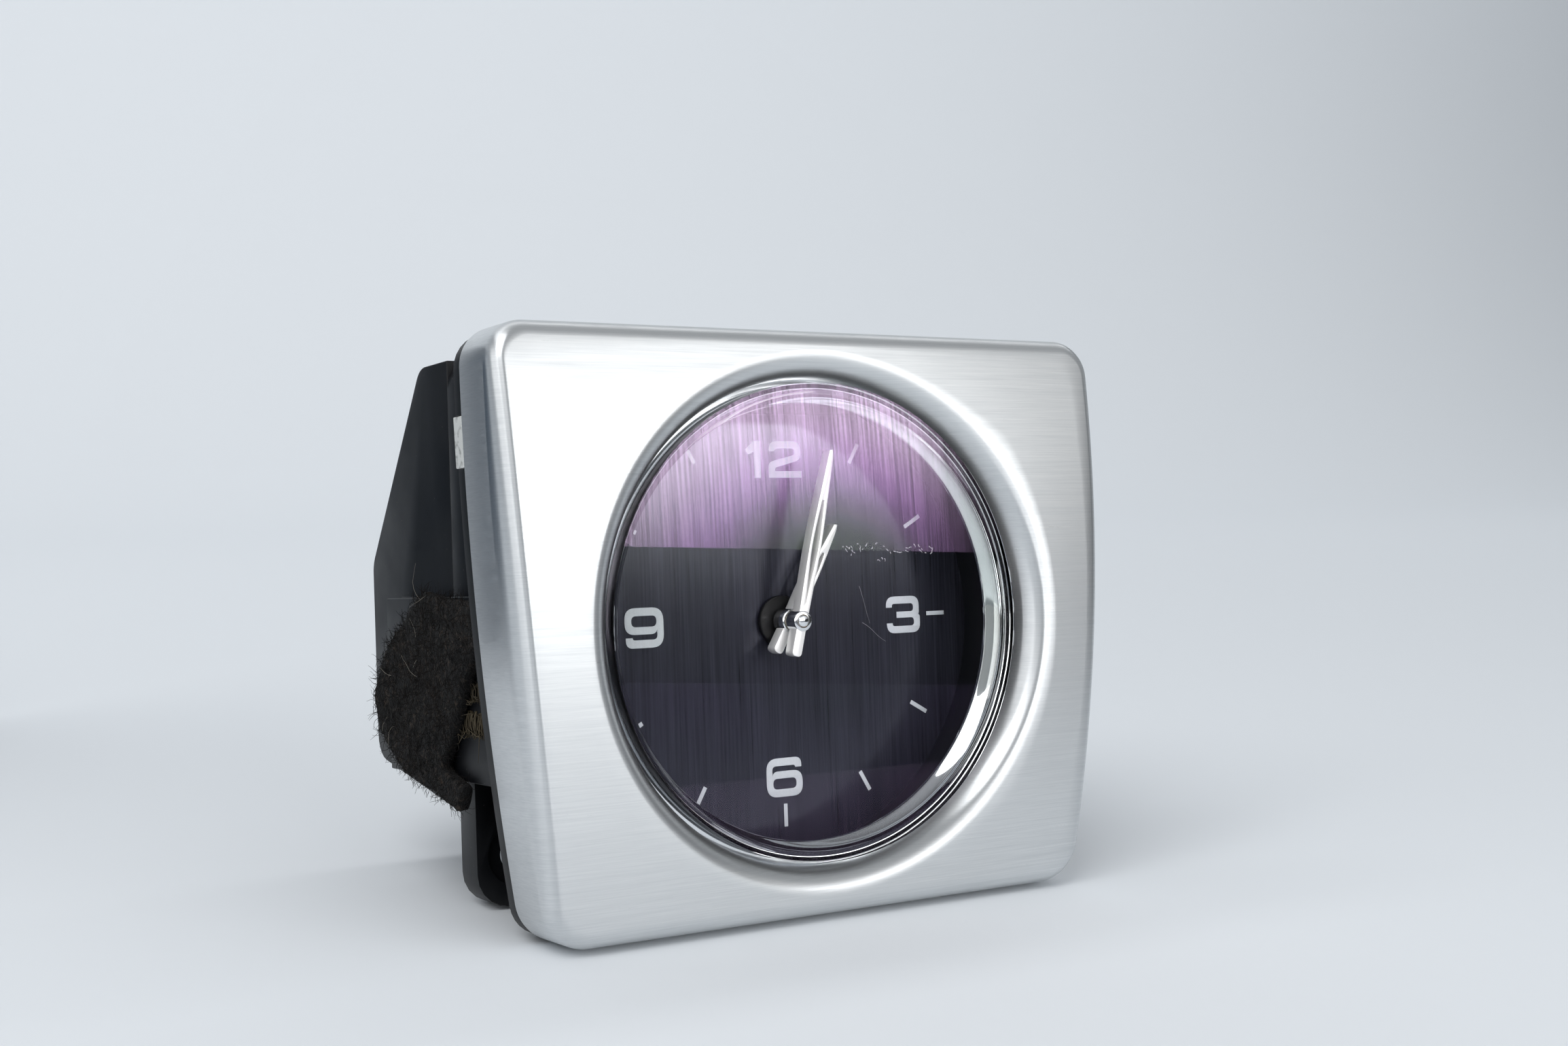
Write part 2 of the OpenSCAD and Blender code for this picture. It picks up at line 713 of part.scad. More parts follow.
module minute_hand() {
    color("silver")
        rotate([0, minute_angle, 0])
            hand(minute_len, minute_hub_r, minute_hub_t, arbor_r, minute_hub_front);
}

module hour_wheel() {
    color("ivory")
        difference() {
            union() {
                gear(hour_z, hour_m, motion_dir + half_turn / hour_z, hour_y, hour_y + wheel_t);
                bar(pipe_r, hour_hub_front, hour_y + wheel_t);
            }
            bar(pipe_bore_r, hour_hub_front - over, hour_y + wheel_t + over);
        }
}

module centre_wheel() {
    color("goldenrod") {
        gear(pinion_z, motion_m, motion_dir, motion_y, centre_y);
        gear(centre_z, drive_m, third_dir, centre_y, centre_y + wheel_t);
        bar(arbor_r, minute_hub_front, back_rear);
    }
}

module motion_wheel() {
    color("ivory")
        at(motion_p) {
            gear(pinion_z, hour_m, motion_dir + half_turn, hour_y, motion_y);
            gear(motion_z, motion_m, motion_dir + half_turn + half_turn / motion_z, motion_y, motion_y + wheel_t);
            bar(pivot_r, plate_front, motion_y + wheel_t);
        }
}

module third_wheel() {
    color("ivory")
        at(third_p) {
            gear(pinion_z, drive_m, third_dir + half_turn + half_turn / pinion_z, centre_y, third_y);
            gear(third_z, drive_m, rotor_dir, third_y, third_y + wheel_t);
            bar(pivot_r, plate_front, back_rear);
        }
}

module rotor() {
    color("ivory")
        at(rotor_p) {
            gear(pinion_z, drive_m, rotor_dir + half_turn + half_turn / pinion_z, third_y, magnet_y);
            bar(pivot_r, plate_front, back_rear);
        }
}
module rotor_magnet() {
    color("dimgray")
        at(rotor_p)
            difference() {
                bar(magnet_r, magnet_y, magnet_y + magnet_t);
                bar(pivot_r, magnet_y - over, magnet_y + magnet_t + over);
            }
}

// repeat children at the pillars between the movement plates
module at_pillars() {
    for (a = pillar_angles)
        rotate([0, -a, 0])
            translate([pillar_ring_r, 0, 0])
                children();
}
// pivot holes of one movement plate
module pivot_holes(y0, y1, places) {
    for (p = places)
        at(p)
            bar(pivot_r + run, y0 - over, y1 + over);
}
stops = [[stator_left + leg_w / 2, rotor_p[1]], [stator_right - leg_w / 2, rotor_p[1]]];
module front_plate() {
    color("#d8d8d0")
        difference() {
            union() {
                bar(front_plate_r, plate_front, plate_rear);
                for (a = post_angles)
                    rotate([0, -a, 0])
                        box([front_plate_r / 2, plate_front, -lug_half],
                            [drum_bore_r - 3 * slip, plate_rear, lug_half]);
                at_pillars()
                    bar(pillar_r, plate_front, back_front);
                for (p = stops)
                    at(p)
                        bar(stop_r, plate_front, stator_y);
            }
            bar(bush_r, plate_front - over, plate_rear + over);
            pivot_holes(plate_front, plate_rear, [third_p, rotor_p, motion_p]);
            at_posts()
                bar(small_screw_r, plate_front - over, plate_rear + over);
            at_pillars()
                bar(small_screw_r, back_front - small_thread, back_front + over);
        }
}

module back_plate() {
    color("#d8d8d0")
        difference() {
            union() {
                bar(back_plate_r, back_front, back_rear);
                for (p = stops)
                    at(p)
                        bar(stop_r, stator_y + core_t, back_rear);
                for (p = stands)
                    at(p)
                        bar(stand_r, back_front, board_front);
            }
            bar(arbor_r + run, back_front - over, back_rear + over);
            pivot_holes(back_front, back_rear, [third_p, rotor_p]);
            box([-back_plate_r, back_front - over, -back_plate_r - over],
                [back_plate_r, back_rear + over, coil_z + bobbin_r + slip]);
            at_pillars()
                bar(small_screw_r, back_front - over, back_rear + over);
            for (p = stands)
                at(p)
                    bar(small_screw_r, board_front - small_thread, board_front + over);
        }
}

module centre_bush() {
    color("goldenrod")
        difference() {
            union() {
                bar(bush_r, dial_depth, plate_rear);
                bar(bush_flange_r, plate_rear, plate_rear + wheel_gap / 2);
            }
            bar(pipe_r + run, dial_depth - over, plate_rear + over);
        }
}

module stator() {
    color("gray")
        difference() {
            box([stator_left, stator_y, rotor_p[1] - stator_half],
                [stator_right, stator_y + core_t, rotor_p[1] + stator_half]);
            at(rotor_p)
                bar(magnet_r + air_gap, stator_y - over, stator_y + core_t + over);
            at(third_p)
                bar(pivot_r + air_gap, stator_y - over, stator_y + core_t + over);
        }
}
module coil_core() {
    color("gray") {
        box([stator_left, stator_y, coil_z - bar_half], [stator_right, stator_y + core_t, coil_z + bar_half]);
        for (x = [stator_left, stator_right - leg_w])
            box([x, stator_y, coil_z - bar_half], [x + leg_w, stator_y + core_t, rotor_p[1] - stator_half]);
    }
}
coil_left = stator_left + leg_w;
coil_right = stator_right - leg_w;
// round bar across the movement, about the coil core
module cross_bar(r, x0, x1) {
    translate([x0, stator_y + core_t / 2, coil_z])
        rotate([0, 90, 0])
            cylinder(r = r, h = x1 - x0);
}
sleeve_r = norm([core_t / 2, bar_half]) + bobbin_wall;
module coil_bobbin() {
    color("white")
        difference() {
            union() {
                cross_bar(sleeve_r, coil_left, coil_right);
                cross_bar(bobbin_r, coil_left, coil_left + flange_w);
                cross_bar(bobbin_r, coil_right - flange_w, coil_right);
            }
            box([coil_left - over, stator_y, coil_z - bar_half], [coil_right + over, stator_y + core_t, coil_z + bar_half]);
        }
}
module coil_winding() {
    color("peru")
        difference() {
            cross_bar(coil_r, coil_left + flange_w, coil_right - flange_w);
            cross_bar(sleeve_r, coil_left, coil_right);
        }
}

// places of the connector pins in the front view
pin_places = [for (i = [0:pin_count - 1]) [(i - (pin_count - 1) / 2) * pin_pitch, -socket_z]];
module circuit_board() {
    color("darkgreen")
        difference() {
            box([-board_w / 2, board_front, -board_bottom], [board_w / 2, board_rear, board_top]);
            for (p = stands)
                at(p)
                    bar(small_screw_r, board_front - over, board_rear + over);
            for (p = pin_places)
                box([p[0] - pin_s / 2, board_front - over, p[1] - pin_s / 2],
                    [p[0] + pin_s / 2, board_rear + over, p[1] + pin_s / 2]);
        }
}
chip_size = [10, 2.2, 7.4];
chip_at = [-17, 4];
module driver_chip() {
    color("#2a2a2a")
        at(chip_at)
            translate([-chip_size[0] / 2, board_rear, -chip_size[2] / 2])
                cube(chip_size);
}
crystal_r = 1.4;
crystal_len = 6.4;
crystal_at = [-18, 12];
module quartz_crystal() {
    color("silver")
        at(crystal_at)
            translate([-crystal_len / 2, board_rear + crystal_r, 0])
                rotate([0, 90, 0])
                    cylinder(r = crystal_r, h = crystal_len);
}
cap_r = 2.5;
cap_h = 5.4;
cap_places = [[16, 10], [16, 3]];
module capacitors() {
    color("gray")
        for (p = cap_places)
            at(p)
                bar(cap_r, board_rear, board_rear + cap_h);
}
module dial_lamps() {
    color("ivory")
        for (s = [-1, 1])
            at([s * guide_leg_x, guide_leg_z])
                box([-lamp_s / 2, board_front - lamp_t, -lamp_s / 2], [lamp_s / 2, board_front, lamp_s / 2]);
}

socket_front = rear_y - face_y - socket_len;
socket_lip = 2;
// box round the socket's centre line
module socket_box(w, h, y0, y1) {
    box([-w / 2, y0, -socket_z - h / 2], [w / 2, y1, -socket_z + h / 2]);
}
module connector_socket() {
    color("#1c1c1e")
        difference() {
            union() {
                socket_box(socket_w, socket_h, socket_front, rear_y - face_y);
                socket_box(socket_w + 2 * socket_lip, socket_h + 2 * socket_lip,
                    rear_y - face_y - cover_wall - socket_wall, rear_y - face_y - cover_wall);
            }
            socket_box(socket_w - 2 * socket_wall, socket_h - 2 * socket_wall, socket_front + socket_wall,
                rear_y - face_y + over);
            for (p = pin_places)
                box([p[0] - pin_s / 2, socket_front - over, p[1] - pin_s / 2],
                    [p[0] + pin_s / 2, socket_front + 2 * socket_wall, p[1] + pin_s / 2]);
        }
}
module connector_pins() {
    color("goldenrod")
        for (p = pin_places)
            box([p[0] - pin_s / 2, board_front, p[1] - pin_s / 2],
                [p[0] + pin_s / 2, rear_y - face_y - socket_len / 3, p[1] + pin_s / 2]);
}

// extrude a depth and height profile across the housing
module across(p, x0, x1) {
    translate([x0, 0, 0])
        rotate([90, 0, 90])
            linear_extrude(x1 - x0)
                polygon(p);
}
window_bands = [[-6.7, -5.2], [-10.3, -8.3]];
module snap_arm() {
    difference() {
        union() {
            box([half_w + arm_gap, arm_front, -arm_bottom], [arm_x, arm_rear, arm_top]);
            box([half_w - cover_wall / 2, arm_rear - arm_root, -arm_bottom + cover_round],
                [arm_x, arm_rear, arm_top]);
        }
        for (b = window_bands)
            box([half_w, arm_front + 2, b[0]], [arm_x + over, arm_front + 2 + window_len, b[1]]);
    }
}
module rear_cover() {
    color("#202226")
        difference() {
            union() {
                difference() {
                    across(rounded(cover_profile, cover_rounds), -half_w, half_w);
                    across(inner_profile, cover_wall - half_w, half_w - cover_wall);
                }
                for (p = case_places)
                    at(p)
                        bar(boss_r, flange_rear, flange_rear + case_thread + cover_wall);
                for (s = [0, 1])
                    mirror([s, 0, 0])
                        snap_arm();
            }
            for (p = case_places)
                at(p)
                    bar(case_screw_r, flange_rear - over, flange_rear + case_thread);
            socket_box(socket_w, socket_h, rear_y - face_y - cover_wall - over, rear_y - face_y + over);
        }
}

// screw along the dial axis with its head at the front or the rear
module screw(shank_r, head_r, head_t, y_head, y_tip) {
    back = sign(y_head - y_tip);
    bar(shank_r, min(y_head, y_tip), max(y_head, y_tip));
    bar(head_r, min(y_head, y_head + back * head_t), max(y_head, y_head + back * head_t));
}
module case_screws() {
    color("dimgray")
        for (p = case_places)
            at(p)
                screw(case_screw_r, case_head_r, case_head_t, flange_front, flange_rear + case_thread);
}
module movement_screws() {
    color("silver")
        at_posts()
            screw(small_screw_r, (small_head_r + small_screw_r) / 2, small_head_t, plate_rear, plate_front - post_thread);
}
module plate_screws() {
    color("silver")
        at_pillars()
            screw(small_screw_r, small_head_r, small_head_t, back_rear, back_front - small_thread);
}
module board_screws() {
    color("silver")
        for (p = stands)
            at(p)
                screw(small_screw_r, small_head_r, small_head_t, board_rear, board_front - small_thread);
}

module felt_right() {
    color("#191716")
        across(felt_outline, arm_x, arm_x + felt_t);
}
module felt_left() {
    mirror([1, 0, 0])
        felt_right();
}

from_face() front_bezel();
from_face() bezel_clips();
from_face() carrier_frame();
from_face() lens();
from_face() chrome_ring();
from_face() ring_gasket();
from_face() front_housing();
from_face() dial();
from_face() centre_collar();
from_face() light_guide();
from_face() hour_hand();
from_face() minute_hand();
from_face() hour_wheel();
from_face() centre_wheel();
from_face() motion_wheel();
from_face() third_wheel();
from_face() rotor();
from_face() rotor_magnet();
from_face() front_plate();
from_face() back_plate();
from_face() centre_bush();
from_face() stator();
from_face() coil_core();
from_face() coil_bobbin();
from_face() coil_winding();
from_face() circuit_board();
from_face() driver_chip();
from_face() quartz_crystal();
from_face() capacitors();
from_face() dial_lamps();
from_face() connector_socket();
from_face() connector_pins();
from_face() rear_cover();
from_face() case_screws();
from_face() movement_screws();
from_face() plate_screws();
from_face() board_screws();
from_face() felt_left();
from_face() felt_right();
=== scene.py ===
"""Looks of a car dashboard clock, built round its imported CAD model.

Sizes are in millimetres. Depths are counted back from the edge of the front plate's face,
as in the part's source, and spot() turns them into the frame's metres.
"""

import json
import logging
import math
import random
from collections.abc import Callable, Iterable, Sequence
from dataclasses import dataclass, field
from enum import Enum

import bmesh
import bpy
from mathutils import Matrix, Vector, noise

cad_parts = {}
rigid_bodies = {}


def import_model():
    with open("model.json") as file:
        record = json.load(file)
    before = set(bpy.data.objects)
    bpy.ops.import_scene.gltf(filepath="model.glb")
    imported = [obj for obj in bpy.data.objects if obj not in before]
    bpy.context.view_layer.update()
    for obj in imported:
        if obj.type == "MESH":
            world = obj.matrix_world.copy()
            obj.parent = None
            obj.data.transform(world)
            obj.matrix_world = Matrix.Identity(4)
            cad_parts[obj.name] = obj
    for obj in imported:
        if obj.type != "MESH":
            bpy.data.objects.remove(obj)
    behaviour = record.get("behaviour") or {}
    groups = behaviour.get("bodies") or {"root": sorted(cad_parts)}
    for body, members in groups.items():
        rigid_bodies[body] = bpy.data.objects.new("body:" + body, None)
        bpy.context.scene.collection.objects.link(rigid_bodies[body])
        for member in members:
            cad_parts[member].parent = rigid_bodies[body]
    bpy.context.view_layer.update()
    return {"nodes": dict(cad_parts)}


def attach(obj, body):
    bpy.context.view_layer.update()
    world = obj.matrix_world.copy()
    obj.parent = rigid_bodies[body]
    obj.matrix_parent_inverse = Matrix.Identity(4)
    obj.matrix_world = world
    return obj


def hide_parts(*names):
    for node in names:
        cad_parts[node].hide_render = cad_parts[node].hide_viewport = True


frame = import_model()

LOG = logging.getLogger("dash_clock")
MM = 0.001
FACE_Y = -23.5  # row y of depth 0, in mm
BRUSH_SCALE = 10  # map units per metre
Corner = tuple[float, float, float]
Point = tuple[float, float]
Place = tuple[float, float, float]
Shape = bmesh.types.BMesh
Socket = bpy.types.NodeSocket
Inputs = dict[str | int, object]


def spot(x: float, depth: float, z: float) -> Vector:
    """Turns a place given in mm and depth into the frame's metres."""
    return Vector((x, depth + FACE_Y, z)) * MM


def part_way(value: float, ends: Point) -> float:
    """Gives how far a value lies between two ends, from 0 to 1."""
    return max(0.0, min(1.0, (value - ends[0]) / (ends[1] - ends[0])))


def linear(code: str) -> tuple[float, float, float, float]:
    """Turns an sRGB hex colour into linear light.

    Args:
        code: colour as #rrggbb.

    Returns:
        Red, green, blue and an alpha of 1.
    """
    parts = [int(code[i:i + 2], 16) / 255 for i in (1, 3, 5)]
    light = [c / 12.92 if c <= 0.04045 else ((c + 0.055) / 1.055) ** 2.4 for c in parts]
    return (light[0], light[1], light[2], 1.0)


class Bench:
    """Nodes of one material while they are put together."""

    def __init__(self, made: bpy.types.Material) -> None:
        """Takes over a new material's nodes.

        Args:
            made: the material.
        """
        made.use_nodes = True
        self.tree = made.node_tree
        self.shader = self.tree.nodes["Principled BSDF"]
        self.at = self.add_node("TexCoord").outputs["Object"]  # place on the surface

    def feed(self, node: bpy.types.Node, inputs: Inputs) -> None:
        """Sets a node's inputs.

        Args:
            node: node that takes the inputs.
            inputs: value or output socket for each input, by name or index.
        """
        for key, value in inputs.items():
            if isinstance(value, Socket):
                self.tree.links.new(value, node.inputs[key])
            else:
                node.inputs[key].default_value = value

    def add_node(self, kind: str, inputs: Inputs | None = None, **settings: object) -> bpy.types.Node:
        """Adds one node with its settings, values and links.

        Args:
            kind: node type without the ShaderNode prefix.
            inputs: value or output socket for each input, by name or index.
            settings: properties of the node.

        Returns:
            The new node.
        """
        node = self.tree.nodes.new("ShaderNode" + kind)
        for key, value in settings.items():
            setattr(node, key, value)
        self.feed(node, inputs or {})
        return node

    def shade(self, inputs: Inputs) -> None:
        """Sets the shader's inputs."""
        self.feed(self.shader, inputs)

    def surface(self, result: Socket) -> None:
        """Makes a node's result the material's surface."""
        self.feed(self.tree.nodes["Material Output"], {"Surface": result})

    def ramp(self, value: Socket, start: float, end: float, low: float = 0.0, high: float = 1.0,
             kind: str = "LINEAR") -> Socket:
        """Turns values from start to end into values from low to high."""
        inputs = {0: value, 1: start, 2: end, 3: low, 4: high}
        return self.add_node("MapRange", inputs, interpolation_type=kind).outputs[0]

    def grain(self, size_mm: float, detail: float, rough: float = 0.5, at: Socket | None = None) -> Socket:
        """Gives an uneven pattern from 0 to 1 with patches of a size and a number of finer layers."""
        inputs = {"Vector": self.at if at is None else at, "Scale": 1 / (size_mm * MM), "Detail": detail,
                  "Roughness": rough}
        return self.add_node("TexNoise", inputs).outputs[0]

    def lines(self, size_mm: Iterable[float], detail: float, rough: float) -> Socket:
        """Gives such a pattern whose patches have their own size along each axis."""
        drawn = self.add_node("Mapping", {"Vector": self.at, "Scale": [1 / (mm * MM) for mm in size_mm]})
        return self.grain(1 / MM, detail, rough, drawn.outputs[0])

    def two_tone(self, share: Socket, first: str | Socket, second: str | Socket) -> Socket:
        """Mixes two colours, each a #rrggbb or a socket, by the share of the second."""
        pair = [linear(c) if isinstance(c, str) else c for c in (first, second)]
        return self.add_node("Mix", {0: share, 6: pair[0], 7: pair[1]}, data_type="RGBA").outputs[2]

    def relief(self, height: Socket, depth_mm: float, strength: float) -> Socket:
        """Gives the normal of fine relief from its height, which runs from 0 to 1."""
        return self.add_node("Bump", {"Strength": strength, "Distance": depth_mm * MM, "Height": height}).outputs[0]

    def from_axis(self, reach: Point, mid: float = 0.0) -> Socket:
        """Gives a smooth rise from 0 to 1 with distance from the dial axis or from a line above or below it.

        Args:
            reach: radius in mm up to which it is 0 and radius from which it is 1.
            mid: height of the line in mm.

        Returns:
            Socket with the rise.
        """
        flat = self.add_node("VectorMath", {0: self.at, 1: (1.0, 0.0, 1.0), 2: (0.0, 0.0, -mid * MM)},
                             operation="MULTIPLY_ADD")
        off = self.add_node("VectorMath", {0: flat.outputs[0]}, operation="LENGTH")
        return self.ramp(off.outputs["Value"], reach[0] * MM, reach[1] * MM, kind="SMOOTHSTEP")


class Across(Enum):
    """Direction that brush lines run in."""

    LEVEL = "level"
    UPRIGHT = "upright"


# ---------------------------------------------------------------- finishes


@dataclass(frozen=True)
class Finish:
    """What a surface is made of and how it was made."""

    name: str
    colour: str
    roughness: float

    def material(self) -> bpy.types.Material:
        """Gives the finish's material, made on first use.

        Returns:
            The material.
        """
        made = bpy.data.materials.get(self.name)
        if made is None:
            made = bpy.data.materials.new(self.name)
            bench = Bench(made)
            bench.shade({"Base Color": linear(self.colour), "Roughness": self.roughness})
            self.dress(bench)
        return made

    def dress(self, on: Bench) -> None:
        """Adds the finish's own pattern to its nodes; each kind of finish has one."""
        raise NotImplementedError


@dataclass(frozen=True)
class BrushedMetal(Finish):
    """Sheet metal drawn past an abrasive belt, clear anodised or lacquered after it."""

    groove: str = "#8a8c90"
    bare: float = 1.0
    run: Across = Across.LEVEL
    line_mm: float = 0.14  # real grit is finer; drawn this coarse so that it shows
    length_mm: float = 9.0
    wider: float = 5.0  # of the bands than of the lines
    relief_mm: float = 0.004
    stretch: float = 0.75
    spread: float = 0.06
    bands: float = 0.2

    def dress(self, on: Bench) -> None:
        """Draws brush lines into colour, roughness and relief.

        Args:
            on: the material's nodes.
        """
        fine, long, deep = self.line_mm, self.length_mm, self.length_mm / 4
        size = (long, deep, fine) if self.run is Across.LEVEL else (fine, deep, long)
        narrow = on.lines(size, 4.0, 0.7)
        wide = on.lines([mm * self.wider for mm in size], 2.0, 0.5)
        both = on.add_node("Mix", {0: self.bands, 2: narrow, 3: wide}).outputs[0]
        sharp = on.ramp(both, 0.3, 0.7)
        tangent = on.add_node("Tangent", direction_type="UV_MAP", uv_map="brush")
        on.shade({"Metallic": self.bare, "Anisotropic": self.stretch, "Tangent": tangent.outputs[0],
                  "Base Color": on.two_tone(sharp, self.groove, self.colour),
                  "Roughness": on.ramp(sharp, 0.0, 1.0, self.roughness + self.spread, self.roughness - self.spread / 2),
                  "Normal": on.relief(both, self.relief_mm, 0.5)})


@dataclass(frozen=True)
class MouldedPlastic(Finish):
    """Injection moulded plastic with the fine spark-eroded grain of its mould."""

    pale: str = "#3a3d42"
    grain_mm: float = 0.3
    relief_mm: float = 0.008
    dust: float = 0.0
    clear: float = 0.0
    gloss: float = 0.5
    wave_mm: float = 9.0
    speck_mm: float = 1.3
    grime: str = "#a9a59c"

    def dress(self, on: Bench) -> None:
        """Gives the mould grain, slow waves in gloss and a little dust.

        Args:
            on: the material's nodes.
        """
        waves = on.grain(self.wave_mm, 3.0)
        hue = on.two_tone(on.ramp(waves, 0.35, 0.75, 0.0, 0.35), self.colour, self.pale)
        specks = on.add_node("TexVoronoi", {"Vector": on.at, "Scale": 1 / (self.speck_mm * MM)})
        near = on.ramp(specks.outputs["Distance"], 0.0, 0.07, self.dust, 0.0)
        on.shade({"IOR": 1.5, "Specular IOR Level": self.gloss, "Transmission Weight": self.clear,
                  "Base Color": on.two_tone(near, hue, self.grime),
                  "Roughness": on.ramp(waves, 0.3, 0.7, self.roughness - 0.06, self.roughness + 0.08),
                  "Normal": on.relief(on.grain(self.grain_mm, 2.0), self.relief_mm, 0.4)})


@dataclass(frozen=True)
class PlatedMetal(Finish):
    """Polished, plated or plain metal with faint polishing marks and darker wear."""

    dull: str = "#7d7f84"
    mark_mm: float = 0.5
    wear: float = 0.25
    relief_mm: float = 0.003
    bare: float = 1.0

    def dress(self, on: Bench) -> None:
        """Gives polishing marks and patches where the finish is dull.

        Args:
            on: the material's nodes.
        """
        worn = on.ramp(on.grain(self.mark_mm * 6, 4.0), 0.5, 0.72, 0.0, self.wear)
        on.shade({"Metallic": self.bare, "Base Color": on.two_tone(worn, self.colour, self.dull),
                  "Roughness": on.ramp(worn, 0.0, 1.0, self.roughness, self.roughness + 0.3),
                  "Normal": on.relief(on.grain(self.mark_mm, 2.0), self.relief_mm, 0.3)})


@dataclass(frozen=True)
class CoatedLens(Finish):
    """Clear acrylic with a streaky anti-reflection coat, grey-green in the middle and violet, whose reflection has a
    painted pale highlight at the upper rim and painted shade towards the bottom.
    """

    violet: str = "#e6a6ff"
    heart: str = "#56684e"
    # painted highlight: pale tint of the reflection at the upper rim, over the edge where the dial lies in shade
    painted_rim_highlight: str = "#f6d6ff"
    heart_reach: Point = (8.0, 19.0)
    painted_highlight_reach: Point = (19.0, 29.0)
    painted_highlight_mid: float = -6.0
    # painted shade: the next three dim the reflection towards the bottom, down to a share of 0.2
    painted_shade_reach: Point = (34.0, 48.0)
    painted_shade_mid: float = 30.0
    thin: float = 0.2
    coat_index: float = 1.6  # the coat's, which sets how much it reflects
    streak_mm: Place = (0.3, 40.0, 18.0)
    depth: float = 0.62
    passed: Place = (0.95, 0.94, 0.96)  # share of red, green and blue light that reaches the dial

    def dress(self, on: Bench) -> None:
        """Makes glass that reflects violet, with painted shade that dims the reflection towards the bottom, and lets
        the lamps through to the dial.

        Args:
            on: the material's nodes.
        """
        level = on.ramp(on.lines(self.streak_mm, 4.0, 0.7), 0.4, 0.6, 1 - self.depth, 1.0)
        hue = on.two_tone(on.from_axis(self.heart_reach), self.heart, self.violet)
        # painted highlight: the reflection's tint turns pale towards the upper rim
        wide = on.two_tone(on.from_axis(self.painted_highlight_reach, self.painted_highlight_mid), hue, self.painted_rim_highlight)
        # painted shade: the reflection is dimmed towards the bottom
        thin = on.ramp(on.from_axis(self.painted_shade_reach, self.painted_shade_mid), 0.0, 1.0, 1.0, self.thin)
        coat = on.add_node("Math", {0: level, 1: thin}, operation="MULTIPLY")
        tint = on.add_node("VectorMath", {0: wide, "Scale": coat.outputs[0]}, operation="SCALE")
        on.shade({"Specular Tint": linear(self.violet)})  # for viewers that read no links
        on.shade({"Transmission Weight": 1.0, "IOR": self.coat_index, "Specular Tint": tint.outputs[0]})
        shadow = on.add_node("LightPath").outputs["Is Shadow Ray"]
        open_way = on.add_node("BsdfTransparent", {"Color": (*self.passed, 1.0)})
        mix = on.add_node("MixShader", {0: shadow, 1: on.shader.outputs[0], 2: open_way.outputs[0]})
        on.surface(mix.outputs[0])


@dataclass(frozen=True)
class NeedledFelt(Finish):
    """Black wool felt, needled from loose fibres, with brown and pale hairs in it."""

    brown: str = "#40372f"
    tuft_mm: float = 0.9
    hair_mm: float = 1.6
    relief_mm: float = 0.4

    def dress(self, on: Bench) -> None:
        """Mixes black and brown hair clumps over a rough, tufted relief.

        Args:
            on: the material's nodes.
        """
        tufts = on.grain(self.tuft_mm, 6.0, 0.8)
        hairs = on.add_node("TexWave", {"Vector": on.at, "Scale": 1 / (self.hair_mm * MM), "Distortion": 14.0,
                                        "Detail": 4.0, "Detail Scale": 2.0})
        height = on.add_node("Mix", {0: 0.4, 2: tufts, 3: hairs.outputs["Fac"]})
        on.shade({"Sheen Weight": 0.03, "Sheen Roughness": 0.6, "Specular IOR Level": 0.2,
                  "Base Color": on.two_tone(on.ramp(tufts, 0.52, 0.7), self.colour, self.brown),
                  "Normal": on.relief(height.outputs[0], self.relief_mm, 1.0)})


@dataclass(frozen=True)
class PrintedInk(Finish):
    """Screen-printed ink, slightly grainy where the mesh laid it down."""

    thin: str = "#a7acb4"
    mesh_mm: float = 0.12

    def dress(self, on: Bench) -> None:
        """Varies the ink's cover by a few percent."""
        share = on.ramp(on.grain(self.mesh_mm, 3.0), 0.3, 0.7, 0.0, 0.3)
        on.shade({"Base Color": on.two_tone(share, self.colour, self.thin)})


@dataclass(frozen=True)
class LacqueredBoard(Finish):
    """Glass-fibre board under green solder lacquer, with copper tracks below it."""

    track: str = "#3c8a4e"
    pitch_mm: float = 6.0
    relief_mm: float = 0.03

    def dress(self, on: Bench) -> None:
        """Draws paler tracks on a square grid under the lacquer.

        Args:
            on: the material's nodes.
        """
        turned = on.add_node("Mapping", {"Vector": on.at, "Rotation": (math.pi / 2, 0, 0)})
        black, white = linear("#000000"), linear("#ffffff")
        brick = on.add_node("TexBrick", {"Vector": turned.outputs[0], "Color1": black, "Color2": black,
                                         "Mortar": white, "Scale": 1 / (self.pitch_mm * MM), "Mortar Size": 0.03})
        tracks = brick.outputs["Fac"]
        on.shade({"Base Color": on.two_tone(tracks, self.colour, self.track),
                  "Normal": on.relief(tracks, self.relief_mm, 0.4)})


@dataclass(frozen=True)
class WoundWire(Finish):
    """Lacquered copper wire wound side by side."""

    between: str = "#6b3415"
    wire_mm: float = 0.25
    relief_mm: float = 0.1

    def dress(self, on: Bench) -> None:
        """Draws the turns of wire as fine bands along the coil.

        Args:
            on: the material's nodes.
        """
        wave = on.add_node("TexWave", {"Vector": on.at, "Scale": 0.32 / (self.wire_mm * MM), "Distortion": 0.4},
                           bands_direction="X")
        turns = wave.outputs["Fac"]
        on.shade({"Metallic": 1.0, "Coat Weight": 0.6, "Normal": on.relief(turns, self.relief_mm, 0.8),
                  "Base Color": on.two_tone(turns, self.between, self.colour)})


# Clear anodised aluminium, belt-brushed level: pale grey, with streaks that spread light up and down.
PLATE = BrushedMetal("brushed_anodised_aluminium", "#dcdedf", 0.3, groove="#c9ccce")
# Dark lacquered aluminium, brushed upright: nearly black blue-grey with fine upright streaks.
DIAL = BrushedMetal("dark_lacquered_brushed_dial", "#42434f", 0.16, groove="#1f2128", bare=0.5, run=Across.UPRIGHT,
                    line_mm=0.26, length_mm=18.0, stretch=0.0, relief_mm=0.03, spread=0.0)
# Moulded ABS, satin black: soft highlights along edges, faint grain.
BLACK = MouldedPlastic("satin_black_moulded_abs", "#0d0e11", 0.4, pale="#17191d", dust=0.3, gloss=0.3)
